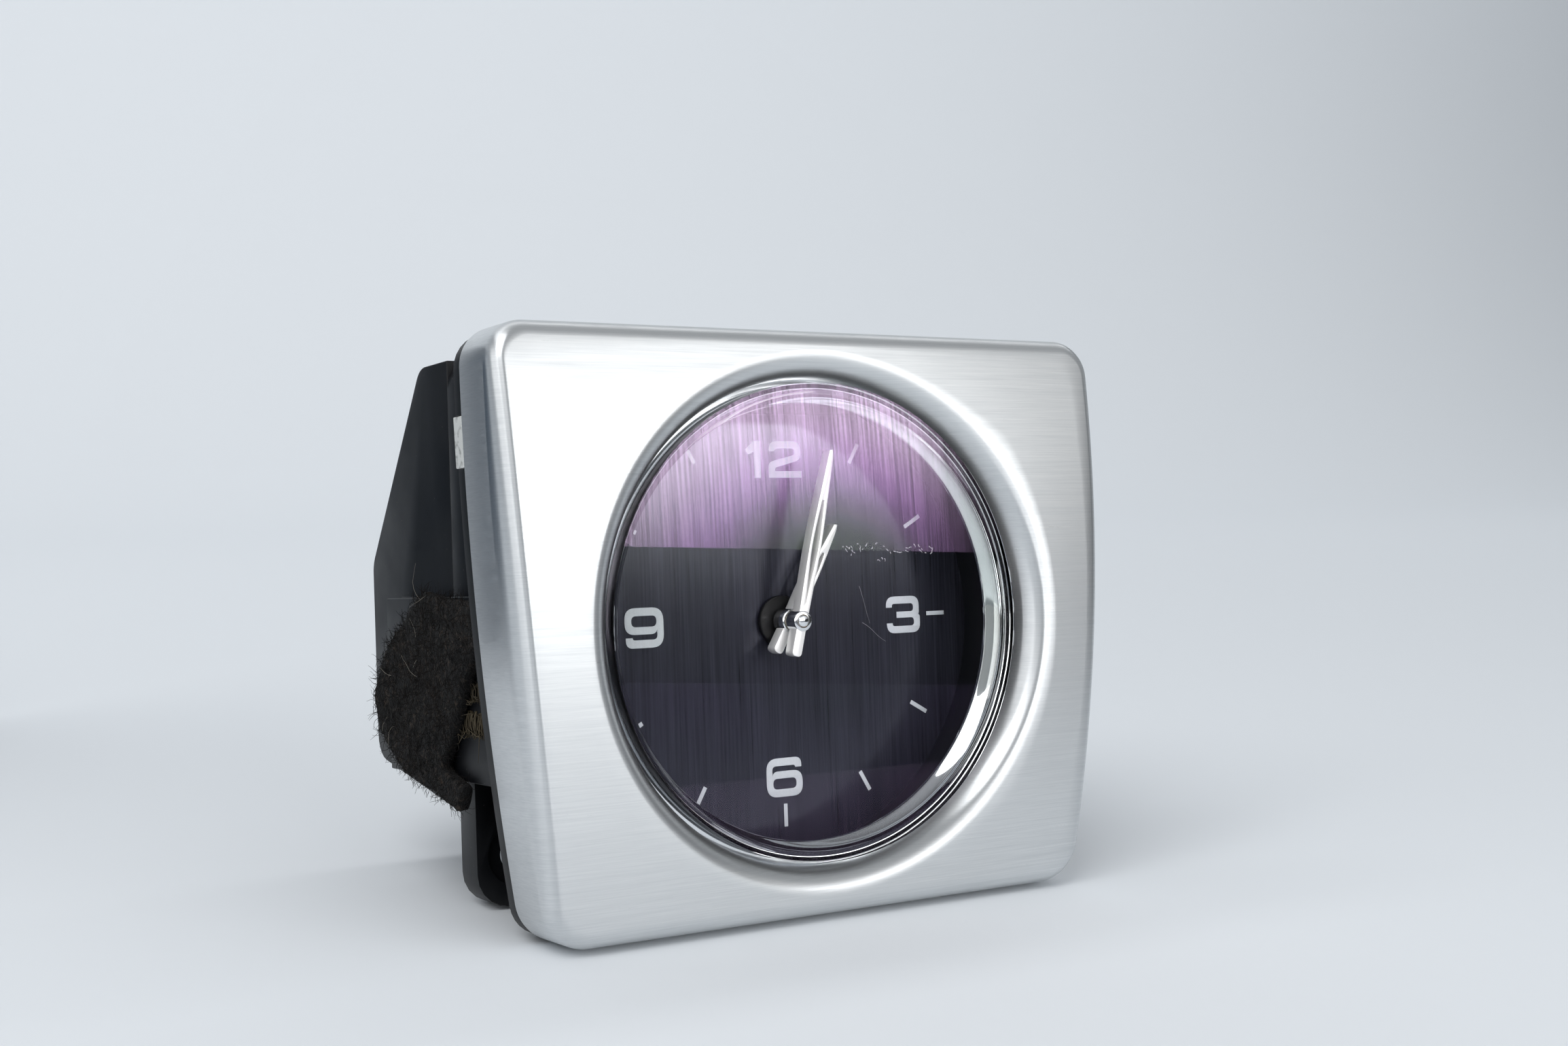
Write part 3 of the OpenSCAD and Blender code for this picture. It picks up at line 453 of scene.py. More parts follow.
# The same plastic with a finer mould: deeper black, for the carrier behind the plate.
CARRIER = MouldedPlastic("fine_black_moulded_abs", "#0b0c0e", 0.45, pale="#141518", dust=0.2, gloss=0.3)
# Grained black plastic of the collar on the dial: dull and dark.
COLLAR = MouldedPlastic("grained_black_collar", "#0a0a0b", 0.55, pale="#1a1a1d", grain_mm=0.22, relief_mm=0.05,
                        gloss=0.35)
# Chrome plate over polished brass: mirror bright with very faint marks.
CHROME = PlatedMetal("polished_chrome_plate", "#e4e6e9", 0.05, dull="#b9bdc4", wear=0.15)
# Silver lacquer on the blades of the hands: white and satin from every side.
HAND = PlatedMetal("silver_lacquered_hand", "#f6f6f4", 0.3, dull="#dfe0e2", mark_mm=0.25, wear=0.2, bare=0.4)
# Chromed zinc of the hubs, polished but a little softer than the ring.
HUB = PlatedMetal("polished_chrome_hub", "#e6e8ea", 0.12, dull="#c3c6cb", mark_mm=0.25, wear=0.2)
# Zinc-plated spring steel: pale, with scuffs and dark scratches.
CLIP = PlatedMetal("zinc_plated_spring_steel", "#e4e5e1", 0.45, dull="#4f5052", mark_mm=0.14, wear=0.75, bare=0.4)
# Steel of screws, magnets and contacts: dull, darkened or tinned as each is made.
SCREW = PlatedMetal("black_oxide_screw_steel", "#5b5d61", 0.35, dull="#303135", wear=0.5)
# Turned and drawn metals of the movement: warm brass, grey iron and bright steel.
BRASS = PlatedMetal("turned_brass", "#c9a45c", 0.28, dull="#7d6230", mark_mm=0.2)
IRON = PlatedMetal("pressed_silicon_iron", "#8c8d90", 0.42, dull="#5b5c60", mark_mm=0.3)
CAN = PlatedMetal("drawn_steel_can", "#c4c6c8", 0.25, dull="#85878a")
TIN = PlatedMetal("tinned_contact_pin", "#d2c7a2", 0.24, dull="#8f8665", mark_mm=0.2)
MAGNET = PlatedMetal("sintered_ferrite_magnet", "#4a4b50", 0.55, dull="#2d2e31", mark_mm=0.12, wear=0.7)
# Coated acrylic: clear, with a streaky violet sheen where it reflects light.
LENS = CoatedLens("coated_clear_acrylic", "#ffffff", 0.0)
# Rubber under the lens: soft, dull black.
GASKET = MouldedPlastic("moulded_black_rubber", "#131313", 0.75, pale="#262626", grain_mm=0.4)
# Print on the dial: flat pale grey.
INK = PrintedInk("pale_screen_print_ink", "#c8ccd2", 0.55)
# Wool felt with its fibres, lint and threads: deep black, hairy, with brown and pale strands.
FELT = NeedledFelt("needled_black_wool_felt", "#060607", 0.95)
FIBRE = MouldedPlastic("loose_wool_fibre", "#0b0a0a", 0.85, pale="#332b25", grain_mm=1.5, gloss=0.15)
LINT = MouldedPlastic("pale_lint_fibre", "#948e83", 0.7, pale="#6f695f", grain_mm=1.0)
THREAD = MouldedPlastic("frayed_dark_thread", "#2a2419", 0.6, pale="#80704f", grain_mm=0.8, gloss=0.5)
# Acrylic worn white by rubbing: tiny pale flecks and hairlines on the lens.
SCUFF = MouldedPlastic("abraded_white_acrylic", "#d6d2da", 0.6, pale="#b4aebc", grain_mm=0.2)
# Plastics, board and coil inside the case: ivory, grey, white and clear mouldings, green lacquer and copper.
GEAR = MouldedPlastic("moulded_ivory_acetal", "#e6e0cf", 0.4, pale="#f1ede2", grain_mm=0.5)
FRAME_PLASTIC = MouldedPlastic("moulded_grey_movement_plate", "#c9cac4", 0.45, pale="#dddeda")
GUIDE = MouldedPlastic("clear_acrylic_light_guide", "#f2f5f7", 0.12, pale="#ffffff", clear=0.85)
BOBBIN = MouldedPlastic("moulded_white_bobbin", "#e9e9e6", 0.4, pale="#f6f6f4")
CHIP = MouldedPlastic("moulded_epoxy_chip", "#1c1c1e", 0.6, pale="#333336", grain_mm=0.15)
LAMP = MouldedPlastic("white_lamp_resin", "#f3efdf", 0.35, pale="#fffdf4")
BOARD = LacqueredBoard("green_lacquered_board", "#1f5b34", 0.3)
COIL = WoundWire("wound_enamelled_copper", "#b8692f", 0.3)


# ---------------------------------------------------------------- mesh helpers


def filleted(corners: Iterable[Corner], steps: int = 6) -> list[Point]:
    """Rounds the corners of a closed outline.

    Args:
        corners: x, y and how far the rounding reaches along each side.
        steps: points per rounding.

    Returns:
        Points of the outline.
    """
    ring = list(corners)
    points: list[Point] = []
    for i, (x, y, reach) in enumerate(ring):
        here = Vector((x, y))
        if reach <= 0:
            points.append((x, y))
            continue
        before = here + (Vector(ring[i - 1][:2]) - here).normalized() * reach
        after = here + (Vector(ring[(i + 1) % len(ring)][:2]) - here).normalized() * reach
        for k in range(steps + 1):
            t = k / steps
            p = before * (1 - t) ** 2 + here * 2 * t * (1 - t) + after * t ** 2
            points.append((p.x, p.y))
    return points


def sharp_edges(bm: Shape, degrees: float) -> list[bmesh.types.BMEdge]:
    """Lists edges whose faces meet at more than an angle."""
    return [e for e in bm.edges if e.is_manifold and e.calc_face_angle(0.0) > math.radians(degrees)]


def round_off(bm: Shape, radius_mm: float, segments: int = 3, degrees: float = 30) -> None:
    """Rounds every edge of a shape that is sharper than an angle."""
    bmesh.ops.bevel(bm, geom=sharp_edges(bm, degrees), offset=radius_mm * MM, offset_type="OFFSET", segments=segments,
                    profile=0.5, affect="EDGES", clamp_overlap=True, material=-1)


def spun(section: Sequence[Point], steps: int, closed: bool = True) -> Shape:
    """Turns a section about the dial axis.

    Args:
        section: radius and depth of each point.
        steps: facets round the axis.
        closed: whether the last point joins the first.

    Returns:
        The turned shape.
    """
    bm = bmesh.new()
    verts = [bm.verts.new(spot(r, depth, 0)) for r, depth in section]
    pairs = list(zip(verts, verts[1:])) + ([(verts[-1], verts[0])] if closed else [])
    edges = [bm.edges.new(pair) for pair in pairs]
    bmesh.ops.spin(bm, geom=verts + edges, cent=(0, 0, 0), axis=(0, 1, 0), angle=math.tau, steps=steps, use_merge=True)
    bmesh.ops.remove_doubles(bm, verts=bm.verts, dist=1e-7)
    bmesh.ops.dissolve_degenerate(bm, edges=bm.edges, dist=1e-8)
    bmesh.ops.recalc_face_normals(bm, faces=bm.faces)
    return bm


def loft(bm: Shape, ring: list[bmesh.types.BMVert], stations: Iterable[Sequence[Vector]]) -> None:
    """Extrudes a closed loop through a run of stations.

    Args:
        bm: mesh that holds the loop.
        ring: vertices of the loop in order.
        stations: places of the loop's vertices at each step.
    """
    for places in stations:
        edges = [bm.edges.get((a, b)) for a, b in zip(ring, ring[1:] + ring[:1])]
        made = bmesh.ops.extrude_edge_only(bm, edges=edges)["geom"]
        fresh = {v for v in made if isinstance(v, bmesh.types.BMVert)}
        ring = [next(e.other_vert(v) for e in v.link_edges if e.other_vert(v) in fresh) for v in ring]
        for vert, co in zip(ring, places):
            vert.co = co


def flat_shape(outlines: Sequence[Sequence[Point]], thick_mm: float, round_mm: float) -> Shape:
    """Fills flat outlines and gives them thickness and rounded edges.

    Args:
        outlines: closed outlines in mm; one inside another is a hole.
        thick_mm: thickness.
        round_mm: rounding of the edges.

    Returns:
        The shape, flat in X and Y, in metres.
    """
    curve = bpy.data.curves.new("outline", "CURVE")
    curve.dimensions, curve.fill_mode = "2D", "BOTH"
    curve.extrude = (thick_mm / 2 - round_mm) * MM
    curve.bevel_depth, curve.bevel_resolution = round_mm * MM, 1
    curve.offset = -round_mm * MM
    for outline in outlines:
        spline = curve.splines.new("POLY")
        spline.points.add(len(outline) - 1)
        for point, (x, y) in zip(spline.points, outline):
            point.co = (x * MM, y * MM, 0, 1)
        spline.use_cyclic_u = True
    return curve_mesh(curve)


def strands(paths: Iterable[Sequence[Vector]], radius_mm: float) -> Shape:
    """Makes thin round strands along paths.

    Args:
        paths: points of each strand in metres.
        radius_mm: radius of a strand.

    Returns:
        All strands as one shape.
    """
    curve = bpy.data.curves.new("strands", "CURVE")
    curve.dimensions = "3D"
    curve.bevel_depth, curve.bevel_resolution = radius_mm * MM, 0
    curve.use_fill_caps = True
    for path in paths:
        spline = curve.splines.new("POLY")
        spline.points.add(len(path) - 1)
        for i, (point, co) in enumerate(zip(spline.points, path)):
            point.co = (*co, 1)
            point.radius = 1 - 0.6 * i / (len(path) - 1)
    return curve_mesh(curve)


def curve_mesh(curve: bpy.types.Curve) -> Shape:
    """Turns a curve into a mesh and removes the curve.

    Args:
        curve: the curve.

    Returns:
        Its mesh, with doubles merged.
    """
    holder = bpy.data.objects.new("holder", curve)
    bpy.context.scene.collection.objects.link(holder)
    mesh = bpy.data.meshes.new_from_object(holder.evaluated_get(bpy.context.evaluated_depsgraph_get()))
    bm = bmesh.new()
    bm.from_mesh(mesh)
    bpy.data.objects.remove(holder)
    bpy.data.curves.remove(curve)
    bpy.data.meshes.remove(mesh)
    bmesh.ops.remove_doubles(bm, verts=bm.verts, dist=1e-7)
    return bm


def joined(bm: Shape, more: Shape) -> None:
    """Adds a second shape to a first.

    Args:
        bm: shape that takes the other.
        more: shape that is added, used up here.
    """
    holder = bpy.data.meshes.new("joined")
    more.to_mesh(holder)
    more.free()
    bm.from_mesh(holder)
    bpy.data.meshes.remove(holder)


def copied(node: str) -> Shape:
    """Copies a CAD node's shape as one joined mesh of whole faces.

    Args:
        node: name of the node.

    Returns:
        The copy.
    """
    bm = bmesh.new()
    bm.from_mesh(frame["nodes"][node].data)
    bmesh.ops.remove_doubles(bm, verts=bm.verts, dist=2e-6)
    bmesh.ops.dissolve_limit(bm, angle_limit=math.radians(0.5), use_dissolve_boundaries=False, verts=bm.verts,
                             edges=bm.edges, delimit={"NORMAL"})
    return bm


def linked(name: str, bm: Shape, finish: Finish | None = None) -> bpy.types.Object:
    """Makes an object from a shape and puts it in the scene.

    Args:
        name: name of the object.
        bm: its shape in the frame's metres, used up here.
        finish: its finish, if it is to be seen.

    Returns:
        The object.
    """
    for face in bm.faces:
        face.smooth = True
    mesh = bpy.data.meshes.new(name)
    bm.to_mesh(mesh)
    bm.free()
    if finish:
        mesh.materials.append(finish.material())
    made = bpy.data.objects.new(name, mesh)
    bpy.context.scene.collection.objects.link(made)
    return made


def place(name: str, bm: Shape, finish: Finish, body: str = "case",
          stands_for: Sequence[str] = (), crease: float = 32) -> bpy.types.Object:
    """Makes a piece from a shape and lets it ride on its body.

    Args:
        name: name of the piece.
        bm: its shape in the frame's metres, used up here.
        finish: its finish.
        body: CAD body that carries it.
        stands_for: CAD nodes that it replaces.
        crease: angle in degrees from which an edge stays sharp.

    Returns:
        The piece.
    """
    piece = linked(name, bm, finish)
    piece.data.set_sharp_from_angle(angle=math.radians(crease))
    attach(piece, body)
    if stands_for:
        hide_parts(*stands_for)
    LOG.info("%s: %d faces on %s", name, len(piece.data.polygons), body)
    return piece


def brush_map(bm: Shape, along: Callable[[Vector], Point]) -> None:
    """Writes the map that turns brushed highlights.

    Args:
        bm: shape that takes the map.
        along: map place of a point; its first part runs across the brush lines.
    """
    layer = bm.loops.layers.uv.new("brush")
    for face in bm.faces:
        for loop in face.loops:
            loop[layer].uv = along(loop.vert.co)


def rounded(node: str, finish: Finish, radius_mm: float) -> None:
    """Makes a piece from a CAD node's shape with rounded edges.

    Args:
        node: name of the node, which the piece replaces.
        finish: finish of the piece.
        radius_mm: rounding radius.
    """
    bm = copied(node)
    round_off(bm, radius_mm)
    place(node + "_rounded", bm, finish, stands_for=[node])


def dress_node(node: str, finish: Finish) -> None:
    """Gives a CAD node that stays its finish.

    Args:
        node: name of the node.
        finish: its finish.
    """
    slots = frame["nodes"][node].data.materials
    slots.clear()
    slots.append(finish.material())
    LOG.info("%s: CAD node in %s", node, finish.name)


# ---------------------------------------------------------------- sub-assemblies


@dataclass
class FrontPlate:
    """Pressed aluminium plate with its clips and the carrier behind it."""

    top_w: float = 75.6
    bottom_w: float = 66.0
    high: float = 62.0
    bow: float = 1.2
    corner: float = 4.2
    depth: float = 7.5
    wall: float = 1.5
    edge: float = 1.7
    crown: float = 2.2
    opening: float = 26.0
    lip: float = 2.8
    lip_end: float = 3.2
    bow_inset: float = 4.0  # how far inside the lower corners the bow is whole
    corner_steps: int = 12
    side_cuts: int = 59
    edge_steps: int = 8
    face_steps: int = 7
    fold_gain: float = 1.1  # with the power, how the brush map folds over the upper and lower edges
    fold_power: int = 9
    rear_round: float = 0.15
    clip_round: float = 0.12
    carrier_round: float = 0.3

    def outline(self) -> list[tuple[Vector, Vector]]:
        """Draws the plate's outline in the front view.

        Returns:
            Places (x, z) with outward normals, in order.
        """
        half = self.high / 2
        bm = bmesh.new()
        corners = [bm.verts.new((x, 0, z)) for x, z in ((-self.bottom_w / 2, -half), (self.bottom_w / 2, -half),
                                                         (self.top_w / 2, half), (-self.top_w / 2, half))]
        bm.faces.new(corners)
        bmesh.ops.bevel(bm, geom=corners, offset=self.corner, offset_type="OFFSET", segments=self.corner_steps,
                        profile=0.5, affect="VERTICES", clamp_overlap=False, material=-1)
        long = [e for e in bm.edges if e.calc_length() > self.corner]
        bmesh.ops.subdivide_edges(bm, edges=long, cuts=self.side_cuts)
        bm.faces.ensure_lookup_table()
        ring = [Vector((v.co.x, v.co.z)) for v in bm.faces[0].verts]
        bm.free()
        whole = self.bottom_w / 2 - self.bow_inset
        for p in ring:
            p.x += math.copysign(self.bow * (1 - (p.y / half) ** 2), p.x) * min(1, abs(p.x) / whole)
        if sum(a.x * b.y - a.y * b.x for a, b in zip(ring, ring[1:] + ring[:1])) < 0:
            ring.reverse()
        found = []
        for i, p in enumerate(ring):
            way = (ring[(i + 1) % len(ring)] - ring[i - 1]).normalized()
            found.append((p, Vector((way.y, -way.x))))
        return found

    def swell(self, z: float) -> float:
        """Gives how far the face stands forward at a height."""
        return self.crown * max(0.0, 1 - (z / (self.high / 2)) ** 2)

    def station(self, flat: Iterable[Vector], depth: float, share: float) -> list[Vector]:
        """Sets flat points at a depth, less a share of the face's swell."""
        return [spot(p.x, depth - share * self.swell(p.y), p.y) for p in flat]

    def sheet(self) -> Shape:
        """Draws the outer skin from the rear edge over the face into the opening.

        Returns:
            The skin.
        """
        rim = self.outline()
        face = [p - n * self.edge for p, n in rim]
        ways = [p.normalized() for p in face]
        foot = self.opening + self.lip
        bm = bmesh.new()
        ring = [bm.verts.new(p) for p in self.station([p for p, _ in rim], self.depth, 0)]
        for a, b in zip(ring, ring[1:] + ring[:1]):
            bm.edges.new((a, b))
        turns = [(math.sin(t), math.cos(t)) for t in
                 (math.pi / 2 * i / self.edge_steps for i in range(self.edge_steps + 1))]
        stations = [self.station([p - n * self.edge * (1 - cos) for p, n in rim], self.edge * (1 - sin), sin)
                    for sin, cos in turns]
        stations += [self.station([p.lerp(way * foot, i / self.face_steps) for p, way in zip(face, ways)], 0, 1)
                     for i in range(1, self.face_steps)]
        stations += [self.station([way * (foot - self.lip * sin) for way in ways], self.lip * (1 - cos), cos)
                     for sin, cos in turns]
        stations += [self.station([way * self.opening for way in ways], self.lip_end, 0)]
        loft(bm, ring, stations)
        bmesh.ops.recalc_face_normals(bm, faces=bm.faces)
        front = min(bm.faces, key=lambda f: f.calc_center_median().y)
        if front.normal.y > 0:
            bmesh.ops.reverse_faces(bm, faces=bm.faces)
        return bm

    def across_lines(self, p: Vector) -> Point:
        """Gives a point's place on the brush map, where the upper and lower edges are folded out.

        Args:
            p: point in the frame's metres.

        Returns:
            Places across and along the brush lines.
        """
        turned = part_way(self.fold_gain * p.z, (-self.high / 2 * MM, self.high / 2 * MM)) * 2 - 1
        fold = (p.y - FACE_Y * MM) * turned ** self.fold_power
        return (p.z + fold) * BRUSH_SCALE, p.x * BRUSH_SCALE

    def build(self) -> None:
        """Makes the plate, its clips and its carrier."""
        bm = self.sheet()
        brush_map(bm, self.across_lines)
        plate = place("front_plate_skin", bm, PLATE, stands_for=["front_bezel"], crease=50)
        thick = plate.modifiers.new("wall", "SOLIDIFY")
        thick.thickness, thick.offset, thick.use_even_offset = self.wall * MM, -1, True
        soft = plate.modifiers.new("rear_edges", "BEVEL")
        soft.width, soft.segments = self.rear_round * MM, 2
        soft.limit_method, soft.angle_limit = "ANGLE", math.radians(60)
        rounded("bezel_clips", CLIP, self.clip_round)
        rounded("carrier_frame", CARRIER, self.carrier_round)


@dataclass
class LensAndRing:
    """Domed lens on its chrome ring and gasket."""

    radius: float = 25.4
    rim: float = 0.2
    thick: float = 1.6
    rise: float = 1.4
    seat: float = 24.8
    foot: float = 23.4
    flange: float = 27.5
    flange_t: float = 1.0
    ring_h: float = 2.4
    ring_round: float = 0.08
    cone_h: float = 2.0
    cone_bulge: float = 0.22
    cone_steps: int = 10
    dome_steps: int = 28
    facets: int = 192
    flat: float = 0.06  # share of the dome's slope that reflections show
    facing: float = 0.7  # how straight a face looks ahead or back to count as the dome's
    scuff_count: int = 38
    scuff_r: float = 0.045
    scuff_x: Point = (1.5, 13.5)
    scuff_z: Point = (7.5, 0.5)  # middle and spread, as for the way and the bend
    scuff_way: Point = (-0.3, 0.7)
    scuff_bend: Point = (0.0, 1.4)
    scuff_long: Point = (0.15, 0.5)
    hairline_r: float = 0.008
    hairline_wave: float = 0.1
    hairline_ends: tuple[tuple[Point, Point], ...] = (((3.4, 3.6), (4.6, -0.4)), ((3.6, -0.3), (6.6, -2.4)))
    seed: int = 11

    def fallen(self, radius: float, off: float) -> float:
        """Gives how far a dome with a rim radius has fallen back from its crown at a distance off the axis."""
        ball = (radius ** 2 + self.rise ** 2) / (2 * self.rise)
        return ball - math.sqrt(ball ** 2 - off ** 2)

    def dome(self, radius: float, depth: float) -> list[Point]:
        """Draws a dome's section from the axis to its rim, as radius and depth of each point."""
        steps = [radius * i / self.dome_steps for i in range(self.dome_steps + 1)]
        return [(r, depth - self.rise + self.fallen(radius, r)) for r in steps]

    def build(self) -> None:
        """Makes the lens and the ring and dresses the gasket."""
        front = self.dome(self.radius, self.rim)
        top = self.rim + self.thick
        back = self.dome(self.seat, top)
        lens = spun(front + [(self.radius, top)] + back[::-1], self.facets, closed=False)
        self.calm(place("lens_dome", lens, LENS, stands_for=["lens"]).data)
        cone = [(self.seat + (self.foot - self.seat) * t + self.cone_bulge * math.sin(math.pi * t),
                 top + self.cone_h * t) for t in (i / self.cone_steps for i in range(self.cone_steps + 1))]
        rear, step = top + self.ring_h, top + self.ring_h - self.flange_t
        ring = spun(cone + [(self.foot, rear), (self.flange, rear), (self.flange, step), (self.radius, step),
                            (self.radius, top)], self.facets)
        round_off(ring, self.ring_round, 2)
        place("chrome_ring_turned", ring, CHROME, stands_for=["chrome_ring"])
        dress_node("ring_gasket", GASKET)
        place("lens_scuffs", strands(self.scuffs(), self.scuff_r), SCUFF, crease=180)
        place("lens_hairlines", strands(self.hairlines(), self.hairline_r), SCUFF, crease=180)

    def calm(self, mesh: bpy.types.Mesh) -> None:
        """Turns the dome's normals nearly straight ahead, since its reflections run straight in the photograph.

        Args:
            mesh: mesh of the lens.
        """
        normals = [c.vector.copy() for c in mesh.corner_normals]
        for face in mesh.polygons:
            for i in face.loop_indices:
                if abs(face.normal.y) > self.facing:
                    n = normals[i]
                    normals[i] = Vector((self.flat * n.x, n.y, self.flat * n.z)).normalized()
        mesh.normals_split_custom_set(normals)

    def on_dome(self, x: float, z: float) -> Vector:
        """Gives a point on the lens's outer surface."""
        return spot(x, self.rim - self.rise + self.fallen(self.radius, math.hypot(x, z)), z)

    def scuffs(self) -> list[list[Vector]]:
        """Draws small curved rub marks in a level patch.

        Returns:
            Points of each mark.
        """
        rng = random.Random(self.seed)
        marks = []
        for _ in range(self.scuff_count):
            x, z = rng.uniform(*self.scuff_x), rng.gauss(*self.scuff_z)
            way, bend = rng.gauss(*self.scuff_way), rng.gauss(*self.scuff_bend)
            long = rng.uniform(*self.scuff_long)
            path = []
            for _ in range(4):
                path.append(self.on_dome(x, z))
                x, z = x + long / 3 * math.cos(way), z + long / 3 * math.sin(way)
                way += bend / 3
            marks.append(path)
        return marks

    def hairlines(self) -> list[list[Vector]]:
        """Draws two fine scratches.

        Returns:
            Points of each scratch.
        """
        marks = []
        for start, end in self.hairline_ends:
            legs = [Vector(start).lerp(Vector(end), i / 6) for i in range(7)]
            marks.append([self.on_dome(p.x, p.y + self.hairline_wave * math.sin(i)) for i, p in enumerate(legs)])
        return marks


@dataclass
class DialFace:
    """Dark brushed dial with printed numbers, hour marks and the black collar."""

    front: float = 10.5
    number_ring: float = 17.2
    mark_in: float = 20.1
    mark_out: float = 22.6
    mark_w: float = 0.46
    ink: float = 0.03
    ink_round: float = 0.01
    dial_round: float = 0.05
    collar_round: float = 0.22
    twelve_x: Point = (-2.65, 1.5)
    twelve_lift: float = 0.65
    side_inset: float = 0.4
    numbers: dict[str, list[list[Corner]]] = field(default_factory=lambda: {
        "1": [[(0, 3.1, 0.05), (0.42, 2.56, 0.05), (1.1, 2.9, 0.1), (1.17, 0, 0.03), (1.96, 0, 0.03),
               (1.96, 4.1, 0.03), (1.05, 4.1, 0.05)]],
        "2": [[(0.08, 2.95, 0.05), (0.08, 4.1, 1.0), (4.2, 4.1, 1.0), (4.2, 1.98, 0.7), (0.85, 1.12, 0.2),
               (0.85, 0.75, 0.04), (4.3, 0.75, 0.03), (4.3, 0, 0.03), (0, 0, 0.05), (0, 1.75, 0.6),
               (3.37, 2.55, 0.25), (3.37, 3.27, 0.35), (0.95, 3.27, 0.35), (0.78, 2.95, 0.05)]],
        "3": [[(0, 2.95, 0.04), (0, 4.2, 1.1), (4.6, 4.2, 1.1), (4.6, 2.2, 0.25), (4.48, 2.1, 0.05),
               (4.7, 1.98, 0.25), (4.7, 0, 1.1), (0.05, 0, 1.1), (0.05, 1.16, 0.04), (0.86, 1.16, 0.04),
               (0.86, 0.8, 0.3), (3.86, 0.8, 0.4), (3.86, 1.74, 0.4), (1.45, 1.74, 0.03), (1.45, 2.44, 0.03),
               (3.8, 2.44, 0.4), (3.8, 3.36, 0.4), (0.82, 3.36, 0.3), (0.82, 2.95, 0.04)]],
        "6": [[(4.55, 3.15, 0.04), (4.55, 4.25, 0.85), (0, 4.25, 1.4), (0, 0, 1.4), (4.65, 0, 1.25),
               (4.65, 2.82, 1.2), (0.8, 2.82, 0.7), (0.76, 2.5, 0.2), (0.76, 3.4, 0.5), (3.75, 3.4, 0.3),
               (3.75, 3.15, 0.04)],
              [(0.84, 0.85, 0.55), (3.85, 0.85, 0.55), (3.85, 2.02, 0.55), (0.84, 2.02, 0.55)]],
    })

    def number(self, bm: Shape, digit: str, x: float, z: float, turn: float = 0.0) -> None:
        """Prints one digit.

        Args:
            bm: shape that takes the digit.
            digit: key of the digit's outlines.
            x: middle of the digit to the right of the dial axis.
            z: middle of the digit above the dial axis.
            turn: turn of the digit in radians.
        """
        outlines = self.numbers[digit]
        wide = max(c[0] for c in outlines[0])
        high = max(c[1] for c in outlines[0])
        centred = [filleted([(u - wide / 2, v - high / 2, r) for u, v, r in o]) for o in outlines]
        self.lay(flat_shape(centred, self.ink, self.ink_round), bm, x, z, turn)

    def lay(self, made: Shape, bm: Shape, x: float, z: float, turn: float) -> None:
        """Lays a flat shape on the dial, facing front, and adds it to another.

        Args:
            made: flat shape in X and Y, used up here.
            bm: shape that takes it.
            x: place to the right of the dial axis.
            z: place above the dial axis.
            turn: turn in radians.
        """
        put = (Matrix.Translation(spot(x, self.front - self.ink / 2, z)) @ Matrix.Rotation(math.pi / 2, 4, "X")
               @ Matrix.Rotation(turn, 4, "Z"))
        bmesh.ops.transform(made, matrix=put, verts=made.verts)
        joined(bm, made)

    def build(self) -> None:
        """Makes the dial, its print and its collar."""
        bm = copied("dial")
        round_off(bm, self.dial_round, 1)
        brush_map(bm, lambda p: (p.x * BRUSH_SCALE, p.z * BRUSH_SCALE))
        place("dial_brushed", bm, DIAL, stands_for=["dial"], crease=8)
        bm = bmesh.new()
        high, side = self.number_ring + self.twelve_lift, self.number_ring - self.side_inset
        self.number(bm, "1", self.twelve_x[0], high)
        self.number(bm, "2", self.twelve_x[1], high)
        self.number(bm, "3", side, 0)
        self.number(bm, "6", 0, -self.number_ring)
        self.number(bm, "6", -side, 0, math.pi)
        place("dial_numbers", bm, INK)
        bm = bmesh.new()
        for hour in range(1, 12):
            turn = -math.tau * hour / 12
            long, w = self.mark_out - self.mark_in, self.mark_w
            middle = (self.mark_in + self.mark_out) / 2
            made = flat_shape([[(-w / 2, -long / 2), (w / 2, -long / 2), (w / 2, long / 2), (-w / 2, long / 2)]],
                              self.ink, self.ink_round)
            self.lay(made, bm, -middle * math.sin(turn), middle * math.cos(turn), turn)
        place("dial_marks", bm, INK)
        bm = copied("centre_collar")
        round_off(bm, self.collar_round)
        place("collar_rounded", bm, COLLAR, stands_for=["centre_collar"])


